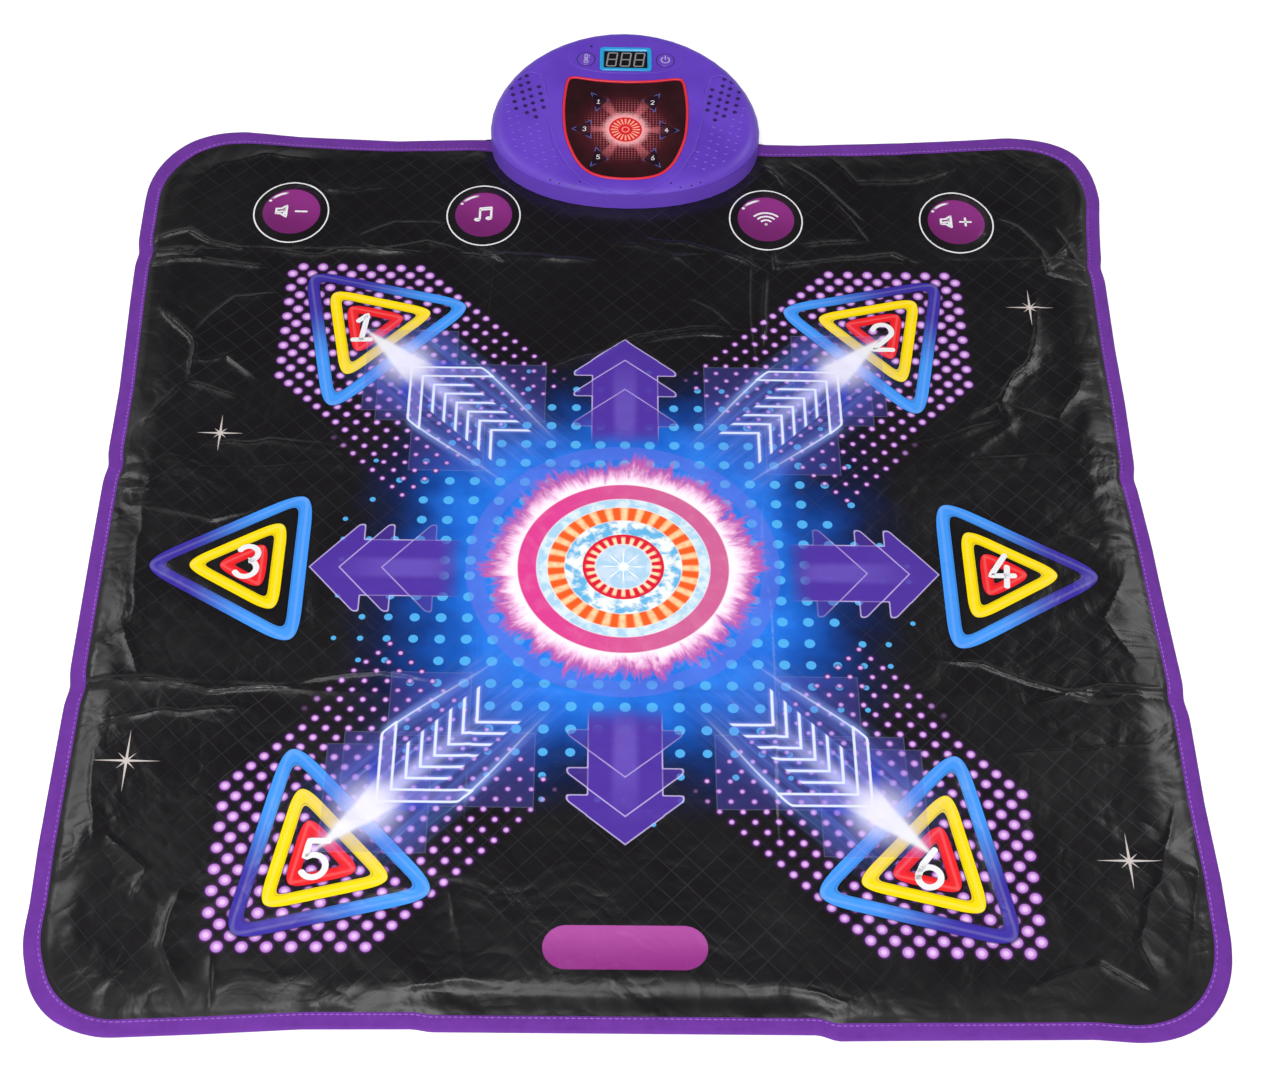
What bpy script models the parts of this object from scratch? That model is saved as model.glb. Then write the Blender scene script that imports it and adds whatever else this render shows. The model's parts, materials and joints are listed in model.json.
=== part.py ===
import math

import bmesh
import bpy
from mathutils import Vector
from mathutils.geometry import delaunay_2d_cdt

for item in list(bpy.data.objects):
    bpy.data.objects.remove(item, do_unlink=True)

# All sizes are metres. Places in the mat's plane count from the middle of the mat.
GAP = 0.0003
BITE = 0.0004
CUT_PAST = 0.002
SKIM = 0.0001

# Mat outline, its edge tape and the line it folds on.
MAT_HALF_X = 0.46
MAT_HALF_Y = 0.49
MAT_CORNER = 0.085
TAPE_WIDTH = 0.022
TAPE_THICK = 0.0006
TAPE_BEND = 0.0008
FOLD_Y = 0.052
FOLD_RISE = 0.0005

# Thickness of each layer of the mat, from the floor up.
BACK_THICK = 0.0006
FILM_THICK = 0.00025
FOAM_THICK = 0.002
TOP_THICK = 0.0005

# The stiff insert of films and foam inside the mat.
INSERT_MARGIN = 0.042
INSERT_CORNER = 0.05
NOTCH_MARGIN = 0.016
SLOPE_RUN = 0.002

# Step pads: corners of the rounded triangle at the rear right and at the right side. The first number
# is how far in from the mat's side it lies, and the second how far behind the middle of the pattern.
PATTERN_Y = -0.061
PAD_CORNER = 0.0135
CORNER_PAD = ((0.1725, 0.3385), (0.2925, 0.3085), (0.1970, 0.2045))
SIDE_PAD = ((0.0700, 0.0), (0.1705, 0.0610), (0.1705, -0.0610))
PAD_CLEAR = 0.001

# Menu pads in a row behind the step pads, so far from the mat's rear edge.
MENU_FROM_EDGE = 0.1135
MENU_FROM_SIDE = 0.133
MENU_INNER_X = 0.139
MENU_RADIUS_X = 0.0363
MENU_RADIUS_Y = 0.0425

# Console: a rounded wedge that straddles the rear edge of the mat.
CONSOLE_FROM_EDGE = 0.005
CONSOLE_HALF_X = 0.1355
CONSOLE_FRONT = 0.095
CONSOLE_REAR = 0.132
FRONT_POWER = 2.15
REAR_POWER = 1.95
PLAN_STEPS = 48
WALL = 0.0022
SPLIT_Z = 0.0222
TOP_Z = 0.0351
TOP_TILT = 5.45
TOP_ROUND = 0.014
FLOOR_Z = 0.0012
BOTTOM_ROUND = 0.003
STEP_BEHIND_MAT = 0.007

# Openings in the top of the console: x is across it, v runs up its slope, w stands out of it.
POD_FROM_REAR = 0.043
POD_HALF_X = 0.0597
POD_HALF_V = 0.0243
POD_RISE = 0.0009
POD_POWER = 2.6
WINDOW_FROM_POD = 0.0042
WINDOW_FROM_FRONT = 0.0158
WINDOW_HALF = (
    (0.0, 0.0560), (0.0300, 0.0578), (0.0500, 0.0612), (0.0590, 0.0585), (0.0622, 0.0440), (0.0640, 0.0190),
    (0.0630, -0.0060), (0.0608, -0.0230), (0.0560, -0.0395), (0.0497, -0.0545), (0.0415, -0.0660),
    (0.0310, -0.0735), (0.0160, -0.0775), (0.0, -0.0785),
)
WINDOW_FLANGE = 0.0015
PANE_THICK = 0.0009
PANE_DROP = 0.0004
TRIM_WIDTH = 0.0027
TRIM_RISE = 0.0008
BEZEL_BELOW_POD = 0.0042
BEZEL_HALF_X = 0.0267
BEZEL_HALF_V = 0.0165
BEZEL_CORNER = 0.004
BEZEL_WALL = 0.0045
BEZEL_RISE = 0.0009
BEZEL_EDGE = 0.0007
BEZEL_FLANGE = 0.0015
SCREEN_CORNER = 0.0012
DIGIT_PITCH = 0.0140
DIGIT_HALF_X = 0.0046
DIGIT_HALF_V = 0.0092
DIGIT_BAR = 0.0014
DIGIT_LEAN = 0.12
DIGIT_RISE = 0.0002
BUTTON_X = 0.0406
BUTTON_BELOW_POD = 0.0052
BUTTON_RADIUS = 0.0088
BUTTON_RISE = 0.0008
BUTTON_EDGE = 0.0006
BUTTON_FLANGE = 0.001
BUTTON_TRAVEL = 0.001
STEM_RADIUS = 0.003
STEM_DROP = 0.0034
SENSOR_X = -0.0354
SENSOR_ABOVE_POD = 0.0132
SENSOR_RADIUS = 0.0014
SPEAKER_FROM_SIDE = 0.0385
SPEAKER_V = 0.030
SPEAKER_RADIUS = 0.0185
SPEAKER_DEPTH = 0.0135
SPEAKER_RIM = 0.0012
SPEAKER_SHOULDER = 0.0028
MAGNET_THICK = 0.006
CONE_RIM = 0.0014
COLLAR_WALL = 0.001
COLLAR_DEPTH = 0.006
GRILLE_FROM_SIDE = 0.0355
GRILLE_V = 0.0315
GRILLE_HALF_X = 0.0180
GRILLE_HALF_V = 0.0300
GRILLE_PITCH_X = 0.0092
GRILLE_PITCH_V = 0.0094
GRILLE_HOLE = 0.0019
GRILLE_SLANT_X = -0.0018
GRILLE_SLANT_V = 0.0008
GRILLE_LEAN = -0.19
WING_LINE = (
    (0.0230, 0.0565), (0.0290, 0.0625), (0.0395, 0.0640), (0.0493, 0.0575), (0.0550, 0.0440),
    (0.0573, 0.0020), (0.0633, -0.0350), (0.0735, -0.0560), (0.0850, -0.0700), (0.0905, -0.0752),
)
GROOVE_HALF = 0.00035
GROOVE_DEPTH = 0.0004

# Board inside the console, hung from four posts of the top shell.
BOARD_HALF_X = 0.0725
BOARD_FROM_FRONT = 0.021
BOARD_FROM_REAR = 0.024
BOARD_DEPTH = 0.012
BOARD_THICK = 0.0016
BOARD_CORNER = 0.02
POST_X = 0.0665
POST_INSIDE_FRONT = 0.024
POST_INSIDE_REAR = 0.028
POST_RADIUS = 0.003
POST_BORE = 0.0014
BOARD_SCREW = 0.0011
BOARD_SCREW_HEAD = 0.0026
BOARD_SCREW_HEAD_THICK = 0.0015
BOARD_SCREW_REACH = 0.006
SWITCH_HALF = 0.003
SWITCH_KNOB = 0.0017
SWITCH_KNOB_RISE = 0.0012
PART_RISE = 0.0016
LED_SPOTS = ((0.030, 0.030), (0.043, -0.005), (0.030, -0.045))
LED_HALF = 0.0025
CHIP_V = -0.005
CHIP_HALF = 0.007
LIGHT_PIPE = 0.0015
LIGHT_PIPE_TIP = 0.0008
CONNECTOR_DROP = 0.0035
CONNECTOR_HALF_V = 0.0025
CONNECTOR_SIDE = 0.002
TAIL_HALF_X = 0.012
TAIL_THICK = 0.00025
TAIL_CLEAR = 0.0012
TAIL_FROM_FRONT = 0.0355
SLOT_MARGIN = 0.001

# Battery well with a row of cells and a door that a screw holds shut.
CELLS = 3
CELL_LENGTH = 0.0505
CELL_RADIUS = 0.00725
CELL_PITCH = 0.0152
CELL_EDGE = 0.0008
CELL_STUD = 0.0027
CELL_STUD_RISE = 0.0013
CELL_END_ROOM = 0.00475
CONTACT_THICK = 0.0004
CONTACT_HALF_Z = 0.005
SPRING_FOOT = 0.0045
STUD_FOOT = 0.0030
CONTACT_TIP = 0.0025
DOOR_FROM_REAR = 0.031
DOOR_TAB = 0.0105
DOOR_LIP = 0.0009
DOOR_THICK = 0.0018
DOOR_SCREW_HEAD = 0.0026
DOOR_SCREW_HEAD_THICK = 0.0007
DOOR_SCREW_SHANK = 0.0013
DOOR_SCREW_LENGTH = 0.005
DOOR_SEAT_DEPTH = 0.001
LEDGE_HEIGHT = 0.0075
LEDGE_OVER = 0.001
LEDGE_BORE = 0.0024
LEDGE_BORE_DEPTH = 0.0064

# Fasteners, clamp plate and feet.
SCREW_RADIUS = 0.0015
HEAD_RADIUS = 0.0032
HEAD_THICK = 0.0009
SCREW_BELOW_TOP = 0.0055
PLATE_THICK = 0.002
PLATE_INSET = 0.003
CLAMP_FROM_TAPE = 0.012
FRONT_SCREW_FROM_SIDE = 0.0405
FRONT_SCREW_BEFORE_MIDDLE = 0.045
INNER_SCREW_X = 0.040
INNER_SCREW_FROM_FRONT = 0.0135
REAR_SCREW_FROM_SIDE = 0.0425
REAR_SCREW_FROM_REAR = 0.064
REAR_HEAD_Z = 0.0057
FRONT_BOSS_TOP = 0.0120
REAR_BOSS_TOP = 0.0200
BOSS_RADIUS = 0.0032
TALL_BOSS_RADIUS = 0.0036
TALL_BOSS_WALL = 0.0017
FOOT_RADIUS = 0.006
SIDE_FOOT_FROM_SIDE = 0.0235
SIDE_FOOT_BEHIND_MIDDLE = 0.035
REAR_FOOT_X = 0.055
REAR_FOOT_FROM_REAR = 0.028

# Places that follow from the sizes above.
CONSOLE_Y = MAT_HALF_Y - CONSOLE_FROM_EDGE
FRONT_Y = CONSOLE_Y - CONSOLE_FRONT
REAR_Y = CONSOLE_Y + CONSOLE_REAR
SHIFT_Y = -(REAR_Y - MAT_HALF_Y) / 2
MENU_Y = MAT_HALF_Y - MENU_FROM_EDGE
MENU_OUTER_X = MAT_HALF_X - MENU_FROM_SIDE
STEP_Y = MAT_HALF_Y + STEP_BEHIND_MAT
CLAMP_END_Y = MAT_HALF_Y - TAPE_WIDTH - CLAMP_FROM_TAPE
TAIL_RISE_Y = FRONT_Y + TAIL_FROM_FRONT
POD_V = CONSOLE_REAR - POD_FROM_REAR
WINDOW_REAR_V = POD_V - POD_HALF_V - WINDOW_FROM_POD
WINDOW_FRONT_V = CONSOLE_FRONT - WINDOW_FROM_FRONT
BEZEL_V = POD_V - BEZEL_BELOW_POD
BUTTON_V = POD_V - BUTTON_BELOW_POD
SENSOR_V = POD_V + SENSOR_ABOVE_POD
SPEAKER_X = CONSOLE_HALF_X - SPEAKER_FROM_SIDE
GRILLE_X = CONSOLE_HALF_X - GRILLE_FROM_SIDE
BOARD_FRONT_V = BOARD_FROM_FRONT - CONSOLE_FRONT
BOARD_REAR_V = CONSOLE_REAR - BOARD_FROM_REAR
POST_VS = (BOARD_FRONT_V + POST_INSIDE_FRONT, BOARD_REAR_V - POST_INSIDE_REAR)
DOOR_REAR_Y = REAR_Y - DOOR_FROM_REAR
WELL_REAR_Y = DOOR_REAR_Y - DOOR_TAB
WELL_FRONT_Y = WELL_REAR_Y - CELL_LENGTH - 2 * CELL_END_ROOM
DOOR_SCREW = (0.0, (WELL_REAR_Y + DOOR_REAR_Y) / 2)
OUTER_SCREW_X = CONSOLE_HALF_X - FRONT_SCREW_FROM_SIDE
OUTER_SCREW_Y = CONSOLE_Y - FRONT_SCREW_BEFORE_MIDDLE
INNER_SCREW_Y = FRONT_Y + INNER_SCREW_FROM_FRONT
REAR_SCREW_X = CONSOLE_HALF_X - REAR_SCREW_FROM_SIDE
REAR_SCREW_Y = REAR_Y - REAR_SCREW_FROM_REAR
FRONT_SCREWS = (
    (-OUTER_SCREW_X, OUTER_SCREW_Y), (-INNER_SCREW_X, INNER_SCREW_Y), (INNER_SCREW_X, INNER_SCREW_Y),
    (OUTER_SCREW_X, OUTER_SCREW_Y),
)
REAR_SCREWS = ((-REAR_SCREW_X, REAR_SCREW_Y), (REAR_SCREW_X, REAR_SCREW_Y))
SIDE_FOOT_X = CONSOLE_HALF_X - SIDE_FOOT_FROM_SIDE
SIDE_FOOT_Y = CONSOLE_Y + SIDE_FOOT_BEHIND_MIDDLE
REAR_FOOT_Y = REAR_Y - REAR_FOOT_FROM_REAR
FEET = (
    (-SIDE_FOOT_X, SIDE_FOOT_Y), (SIDE_FOOT_X, SIDE_FOOT_Y),
    (-REAR_FOOT_X, REAR_FOOT_Y), (REAR_FOOT_X, REAR_FOOT_Y),
)

# Heights that follow from the sizes above.
LOWER_FILM_Z = BACK_THICK + GAP
FOAM_Z = LOWER_FILM_Z + FILM_THICK + GAP
UPPER_FILM_Z = FOAM_Z + FOAM_THICK + GAP
TOP_SHEET_Z = UPPER_FILM_Z + FILM_THICK + GAP
MAT_TOP_Z = TOP_SHEET_Z + TOP_THICK
EDGE_BACK_Z = TAPE_THICK + GAP
EDGE_TOP_Z = EDGE_BACK_Z + BACK_THICK + GAP
TAPE_TOP_Z = EDGE_TOP_Z + TOP_THICK + GAP
CLAMP_BACK_Z = PLATE_THICK + GAP
TAIL_Z = CLAMP_BACK_Z + BACK_THICK + GAP
CLAMP_TOP_Z = TAIL_Z + TAIL_THICK + GAP
FRONT_FLOOR_Z = CLAMP_TOP_Z + TOP_THICK + GAP
FRONT_FLOOR_TOP = FRONT_FLOOR_Z + WALL
TILT = math.radians(TOP_TILT)
UNDER_TOP = -WALL - GAP
STEM_LOW = UNDER_TOP - STEM_DROP
BOARD_TOP = -BOARD_DEPTH
BOARD_LOW = BOARD_TOP - BOARD_THICK
HALF_ROW = CELL_PITCH * (CELLS - 1) / 2 + CELL_RADIUS + GAP
CELL_Z = FLOOR_Z + DOOR_THICK + 2 * GAP + CELL_RADIUS
WELL_TOP = CELL_Z + CELL_RADIUS + GAP
SCREW_BORE = SCREW_RADIUS + GAP
HEAD_BORE = HEAD_RADIUS + GAP


def material(name, color, roughness, metallic=0.0):
    look = bpy.data.materials.new(name)
    look.use_nodes = True
    shader = look.node_tree.nodes["Principled BSDF"]
    shader.inputs["Base Color"].default_value = (*color, 1.0)
    shader.inputs["Roughness"].default_value = roughness
    shader.inputs["Metallic"].default_value = metallic
    look.diffuse_color = (*color, 1.0)
    return look


# Outlines in a plane, all counter-clockwise.
def arc(centre, radius, start, end, steps):
    points = []
    for step in range(steps + 1):
        angle = start + (end - start) * step / steps
        points.append((centre[0] + radius * math.cos(angle), centre[1] + radius * math.sin(angle)))
    return points


def rounded_polygon(corners, radius, steps=4):
    points = []
    for index, here in enumerate(corners):
        before = corners[index - 1]
        after = corners[(index + 1) % len(corners)]
        start = math.atan2(here[1] - before[1], here[0] - before[0]) - math.pi / 2
        end = math.atan2(after[1] - here[1], after[0] - here[0]) - math.pi / 2
        turn = (end - start) % (2 * math.pi)
        points += arc(here, radius, start, start + turn, steps)
    return points


def rounded_rectangle(half_x, half_y, radius, steps=5, centre=(0.0, 0.0)):
    x0 = centre[0] - half_x + radius
    x1 = centre[0] + half_x - radius
    y0 = centre[1] - half_y + radius
    y1 = centre[1] + half_y - radius
    return rounded_polygon(((x1, y1), (x0, y1), (x0, y0), (x1, y0)), radius, steps)


def rectangle(x0, x1, y0, y1):
    return [(x1, y1), (x0, y1), (x0, y0), (x1, y0)]


def power_oval(centre, half_x, depths, powers, steps):
    points = []
    for step in range(steps):
        angle = 2 * math.pi * step / steps
        rear = math.sin(angle) >= 0
        depth = depths[0] if rear else depths[1]
        power = powers[0] if rear else powers[1]
        x = half_x * math.copysign(abs(math.cos(angle)) ** (2 / power), math.cos(angle))
        y = depth * math.copysign(abs(math.sin(angle)) ** (2 / power), math.sin(angle))
        points.append((centre[0] + x, centre[1] + y))
    return points


def oval(centre, radius_x, radius_y, steps=20):
    return power_oval(centre, radius_x, (radius_y, radius_y), (2.0, 2.0), steps)


def circle(centre, radius, steps=12):
    return oval(centre, radius, radius, steps)


def smooth_loop(points, steps=2):
    result = []
    count = len(points)
    for index in range(count):
        p0, p1, p2, p3 = (Vector(points[(index + k) % count]) for k in (-1, 0, 1, 2))
        for step in range(steps):
            t = step / steps
            slope = (p2 - p0) * t
            curve = (2 * p0 - 5 * p1 + 4 * p2 - p3) * t ** 2
            twist = (3 * p1 - p0 - 3 * p2 + p3) * t ** 3
            result.append(tuple((2 * p1 + slope + curve + twist) / 2))
    return result


def inward_normals(points, closed=True):
    normals = []
    count = len(points)
    for index in range(count):
        here = Vector(points[index])
        before = Vector(points[index - 1]) if closed or index else here
        after = Vector(points[(index + 1) % count]) if closed or index < count - 1 else here
        sides = [side.normalized() for side in (here - before, after - here) if side.length > 1e-9]
        turned = [Vector((-side.y, side.x)) for side in sides]
        normal = sum(turned, Vector((0.0, 0.0))).normalized()
        normals.append(normal / max(0.5, normal.dot(turned[0])))
    return normals


def inset(points, distance):
    normals = inward_normals(points)
    return [(x + n.x * distance, y + n.y * distance) for (x, y), n in zip(points, normals)]


def clip(points, limit, above):
    result = []
    for index, (x0, y0) in enumerate(points):
        x1, y1 = points[(index + 1) % len(points)]
        kept = y0 > limit if above else y0 < limit
        next_kept = y1 > limit if above else y1 < limit
        if kept:
            result.append((x0, y0))
        if kept != next_kept:
            share = (limit - y0) / (y1 - y0)
            result.append((x0 + (x1 - x0) * share, limit))
    return result


def inside(point, loop):
    x, y = point
    hit = False
    for index, (x0, y0) in enumerate(loop):
        x1, y1 = loop[(index + 1) % len(loop)]
        if (y0 > y) != (y1 > y) and x < (x1 - x0) * (y - y0) / (y1 - y0) + x0:
            hit = not hit
    return hit


def mirrored(loop):
    return [(-x, y) for x, y in reversed(loop)]


def flipped(loop):
    return [(x, -y) for x, y in reversed(loop)]


def moved(loop, y):
    return [(x, y + dy) for x, dy in loop]


def console_plan(inset_by):
    depths = (CONSOLE_REAR, CONSOLE_FRONT)
    plan = power_oval((0.0, CONSOLE_Y), CONSOLE_HALF_X, depths, (REAR_POWER, FRONT_POWER), PLAN_STEPS)
    return inset(plan, inset_by) if inset_by else plan


def insert_outline(grow):
    """The insert's rounded rectangle with a notch that goes round the console."""
    half_x = MAT_HALF_X - INSERT_MARGIN + grow
    limit = MAT_HALF_Y - INSERT_MARGIN + grow
    loop = rounded_rectangle(half_x, limit, INSERT_CORNER + grow)
    notch = [p for p in console_plan(grow - NOTCH_MARGIN) if p[1] < limit - SLOPE_RUN / 2]
    notch.sort(key=lambda p: -p[0])
    reach = notch[0][0]
    right = [p for p in loop if p[0] > 0 and p[1] > 0]
    left = [p for p in loop if p[0] < 0 and p[1] > 0]
    front = [p for p in loop if p[1] < 0]
    return right + [(reach, limit)] + notch + [(-reach, limit)] + left + front


# Placing: straight up from the floor, in the sloping frame of the console's top, or lying along y.
def on_floor(x, y, z):
    return (x, y, z)


def on_slope(x, v, w):
    y = CONSOLE_Y + v * math.cos(TILT) - w * math.sin(TILT)
    z = TOP_Z + v * math.sin(TILT) + w * math.cos(TILT)
    return (x, y, z)


def lying(x, z, y):
    return (x, y, z)


def slope_height(y, w=0.0):
    return TOP_Z + (y - CONSOLE_Y) * math.tan(TILT) + w / math.cos(TILT)


# Solids, added to a bmesh.
def add_rings(bm, rings, closed=False):
    loops = [[bm.verts.new(p) for p in ring] for ring in rings]
    count = len(loops[0])
    pairs = list(zip(loops, loops[1:]))
    if closed:
        pairs.append((loops[-1], loops[0]))
    for lower, upper in pairs:
        for index in range(count):
            after = (index + 1) % count
            bm.faces.new((lower[index], lower[after], upper[after], upper[index]))
    if not closed:
        bm.faces.new(list(reversed(loops[0])))
        bm.faces.new(loops[-1])


def add_layers(bm, layers, place=on_floor, closed=False):
    add_rings(bm, [[place(x, y, z) for x, y in loop] for loop, z in layers], closed)


def add_prism(bm, loop, low, high, place=on_floor):
    add_layers(bm, ((loop, low), (loop, high)), place)


def add_lathe(bm, profile, centre, steps=12, place=on_floor):
    """A turned solid from (radius, height) points; the first and last stand for flat or pointed ends."""
    rings = []
    for radius, height in profile:
        points = circle(centre, radius, steps) if radius else [centre]
        rings.append([bm.verts.new(place(x, y, height)) for x, y in points])
    for lower, upper in zip(rings, rings[1:]):
        for index in range(steps):
            after = (index + 1) % steps
            if len(lower) == 1:
                bm.faces.new((lower[0], upper[after], upper[index]))
            elif len(upper) == 1:
                bm.faces.new((lower[index], lower[after], upper[0]))
            else:
                bm.faces.new((lower[index], lower[after], upper[after], upper[index]))
    for ring in (rings[0], rings[-1]):
        if len(ring) > 1:
            bm.faces.new(ring)


def add_object(name, bm, look, smooth=None, origin=(0.0, 0.0, 0.0)):
    bmesh.ops.recalc_face_normals(bm, faces=bm.faces)
    bmesh.ops.translate(bm, verts=bm.verts, vec=-Vector(origin))
    mesh = bpy.data.meshes.new(name)
    bm.to_mesh(mesh)
    bm.free()
    mesh.materials.append(look)
    result = bpy.data.objects.new(name, mesh)
    result.location = (origin[0], origin[1] + SHIFT_Y, origin[2])
    bpy.context.scene.collection.objects.link(result)
    if smooth is not None:
        shade(result, smooth)
    return result


def shade(item, angle):
    item.data.shade_smooth()
    item.data.set_sharp_from_angle(angle=math.radians(angle))


def combine(target, operation, bm):
    """Join a solid to the target, or cut it away."""
    origin = target.location - Vector((0.0, SHIFT_Y, 0.0))
    tool = add_object("tool", bm, target.data.materials[0], origin=origin)
    modifier = target.modifiers.new("shape", "BOOLEAN")
    modifier.operation = operation
    modifier.object = tool
    graph = bpy.context.evaluated_depsgraph_get()
    mesh = bpy.data.meshes.new_from_object(target.evaluated_get(graph))
    target.modifiers.clear()
    target.data = mesh
    bpy.data.objects.remove(tool, do_unlink=True)


CASE_LOOK = material("case_purple", (0.16, 0.065, 0.5), 0.35)
BASE_LOOK = material("base_purple", (0.1, 0.04, 0.32), 0.35)
STEEL_LOOK = material("steel", (0.6, 0.6, 0.62), 0.3, 1.0)


# Pads.
def pad_outlines():
    corner_pad = rounded_polygon([(MAT_HALF_X - x, y) for x, y in CORNER_PAD], PAD_CORNER)
    side_pad = rounded_polygon([(MAT_HALF_X - x, y) for x, y in SIDE_PAD], PAD_CORNER)
    rear = moved(corner_pad, PATTERN_Y)
    front = moved(flipped(corner_pad), PATTERN_Y)
    side = moved(side_pad, PATTERN_Y)
    menu = {}
    for name, x in (
        ("volume_down_pad", -MENU_OUTER_X), ("mode_pad", -MENU_INNER_X), ("wireless_pad", MENU_INNER_X),
        ("volume_up_pad", MENU_OUTER_X),
    ):
        menu[name] = oval((x, MENU_Y), MENU_RADIUS_X, MENU_RADIUS_Y)
    steps = (mirrored(rear), rear, mirrored(side), side, mirrored(front), front)
    return {f"step_pad_{number}": loop for number, loop in enumerate(steps, 1)}, menu


def make_pads(outlines, look):
    for name, loop in outlines.items():
        middle = sum((Vector(p) for p in loop), Vector((0.0, 0.0))) / len(loop)
        bm = bmesh.new()
        add_prism(bm, loop, UPPER_FILM_Z, MAT_TOP_Z)
        add_object(name, bm, look, origin=(middle.x, middle.y, MAT_TOP_Z))


# Layers of the mat.
def make_sheet(name, look, outline, holes, contours, height, thick, origin):
    """A sheet of even thickness; height gives its underside at each point of its outlines."""
    coords = []
    edges = []
    for loop in [outline] + holes + contours:
        first = len(coords)
        count = len(loop)
        coords += [Vector(p) for p in loop]
        edges += [(first + i, first + (i + 1) % count) for i in range(count)]
    verts, _, faces, _, _, _ = delaunay_2d_cdt(coords, edges, [], 0, 1e-7)
    kept = []
    for face in faces:
        a, b, c = (verts[i] for i in face)
        middle = (a + b + c) / 3
        area = (b - a).cross(c - a)
        if abs(area) > 1e-13 and inside(middle, outline) and not any(inside(middle, h) for h in holes):
            kept.append(list(face) if area > 0 else list(reversed(face)))
    bm = bmesh.new()
    low = {}
    high = {}
    for i in sorted({i for face in kept for i in face}):
        x, y = verts[i]
        z = height(x, y)
        low[i] = bm.verts.new((x, y, z))
        high[i] = bm.verts.new((x, y, z + thick))
    sides = set()
    for face in kept:
        bm.faces.new([high[i] for i in face])
        bm.faces.new([low[i] for i in reversed(face)])
        sides.update(zip(face, face[1:] + face[:1]))
    for a, b in sorted(sides):
        if (b, a) not in sides:
            bm.faces.new((low[a], low[b], high[b], high[a]))
    return add_object(name, bm, look, origin=origin)


def make_tape(name, look, path, origin):
    """Edge tape: one folded strip swept along the open outline of a panel."""
    top = TAPE_TOP_Z + TAPE_THICK
    inner = TAPE_THICK + GAP
    section = (
        (TAPE_WIDTH, 0.0), (TAPE_BEND, 0.0), (0.0, TAPE_BEND), (0.0, top - TAPE_BEND), (TAPE_BEND, top),
        (TAPE_WIDTH, top), (TAPE_WIDTH, TAPE_TOP_Z), (inner, TAPE_TOP_Z), (TAPE_THICK, TAPE_TOP_Z - GAP),
        (TAPE_THICK, inner), (inner, TAPE_THICK), (TAPE_WIDTH, TAPE_THICK),
    )
    rings = []
    for (x, y), normal in zip(path, inward_normals(path, closed=False)):
        rings.append([(x + normal.x * reach, y + normal.y * reach, z) for reach, z in section])
    bm = bmesh.new()
    add_rings(bm, rings)
    add_object(name, bm, look, origin=origin)


def make_mat_panel(panel, looks, pads):
    above = panel == "rear"
    limit = FOLD_Y + (GAP if above else -GAP)
    origin = (0.0, 0.0, 0.0) if above else (0.0, FOLD_Y, MAT_TOP_Z + FOLD_RISE)
    mat = rounded_rectangle(MAT_HALF_X, MAT_HALF_Y, MAT_CORNER, 8)
    outline = clip(inset(mat, TAPE_THICK + 2 * GAP), limit, above)
    insert = insert_outline(0.0)
    high_zone = insert_outline(SLOPE_RUN)
    clamp_zone = clip(console_plan(0.0), CLAMP_END_Y, False)
    high_test = inset(high_zone, -1e-5)
    clamp_test = inset(clamp_zone, -1e-5)

    def settle(at_insert, at_clamp, at_edge):
        def height(x, y):
            if inside((x, y), high_test):
                return at_insert
            return at_clamp if inside((x, y), clamp_test) else at_edge
        return height

    contours = [clip(inset(mat, TAPE_WIDTH + SLOPE_RUN), limit, above), clip(high_zone, limit, above)]
    screw_holes = [circle(p, SCREW_BORE + GAP, 8) for p in FRONT_SCREWS] if above else []
    slot = [tail_slot()] if above else []
    if above:
        contours.append(clamp_zone)
    film = clip(insert, limit, above)
    wide_holes = [inset(loop, -PAD_CLEAR) for loop in pads]
    top_holes = [inset(loop, -GAP) for loop in pads] + screw_holes + slot
    back_height = settle(0.0, CLAMP_BACK_Z, EDGE_BACK_Z)
    top_height = settle(TOP_SHEET_Z, CLAMP_TOP_Z, EDGE_TOP_Z)
    layers = (
        ("back_sheet", "backing", outline, screw_holes, contours, back_height, BACK_THICK),
        ("lower_film", "film", film, [], [], lambda x, y: LOWER_FILM_Z, FILM_THICK),
        ("spacer_foam", "foam", film, wide_holes, [], lambda x, y: FOAM_Z, FOAM_THICK),
        ("upper_film", "film", film, wide_holes, [], lambda x, y: UPPER_FILM_Z, FILM_THICK),
        ("top_sheet", "vinyl", outline, top_holes, contours, top_height, TOP_THICK),
    )
    for layer, look, *shape in layers:
        make_sheet(f"{panel}_{layer}", looks[look], *shape, origin)
    path = clip(mat, limit, above)
    path.sort(key=lambda p: math.atan2(p[0], p[1] - limit) if above else math.atan2(-p[0], limit - p[1]))
    make_tape(f"{panel}_edge_tape", looks["tape"], path[::-1], origin)


def tail_slot():
    half = TAIL_HALF_X + SLOT_MARGIN
    return rectangle(-half, half, TAIL_RISE_Y - SLOT_MARGIN, TAIL_RISE_Y + TAIL_THICK + SLOT_MARGIN)


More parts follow.
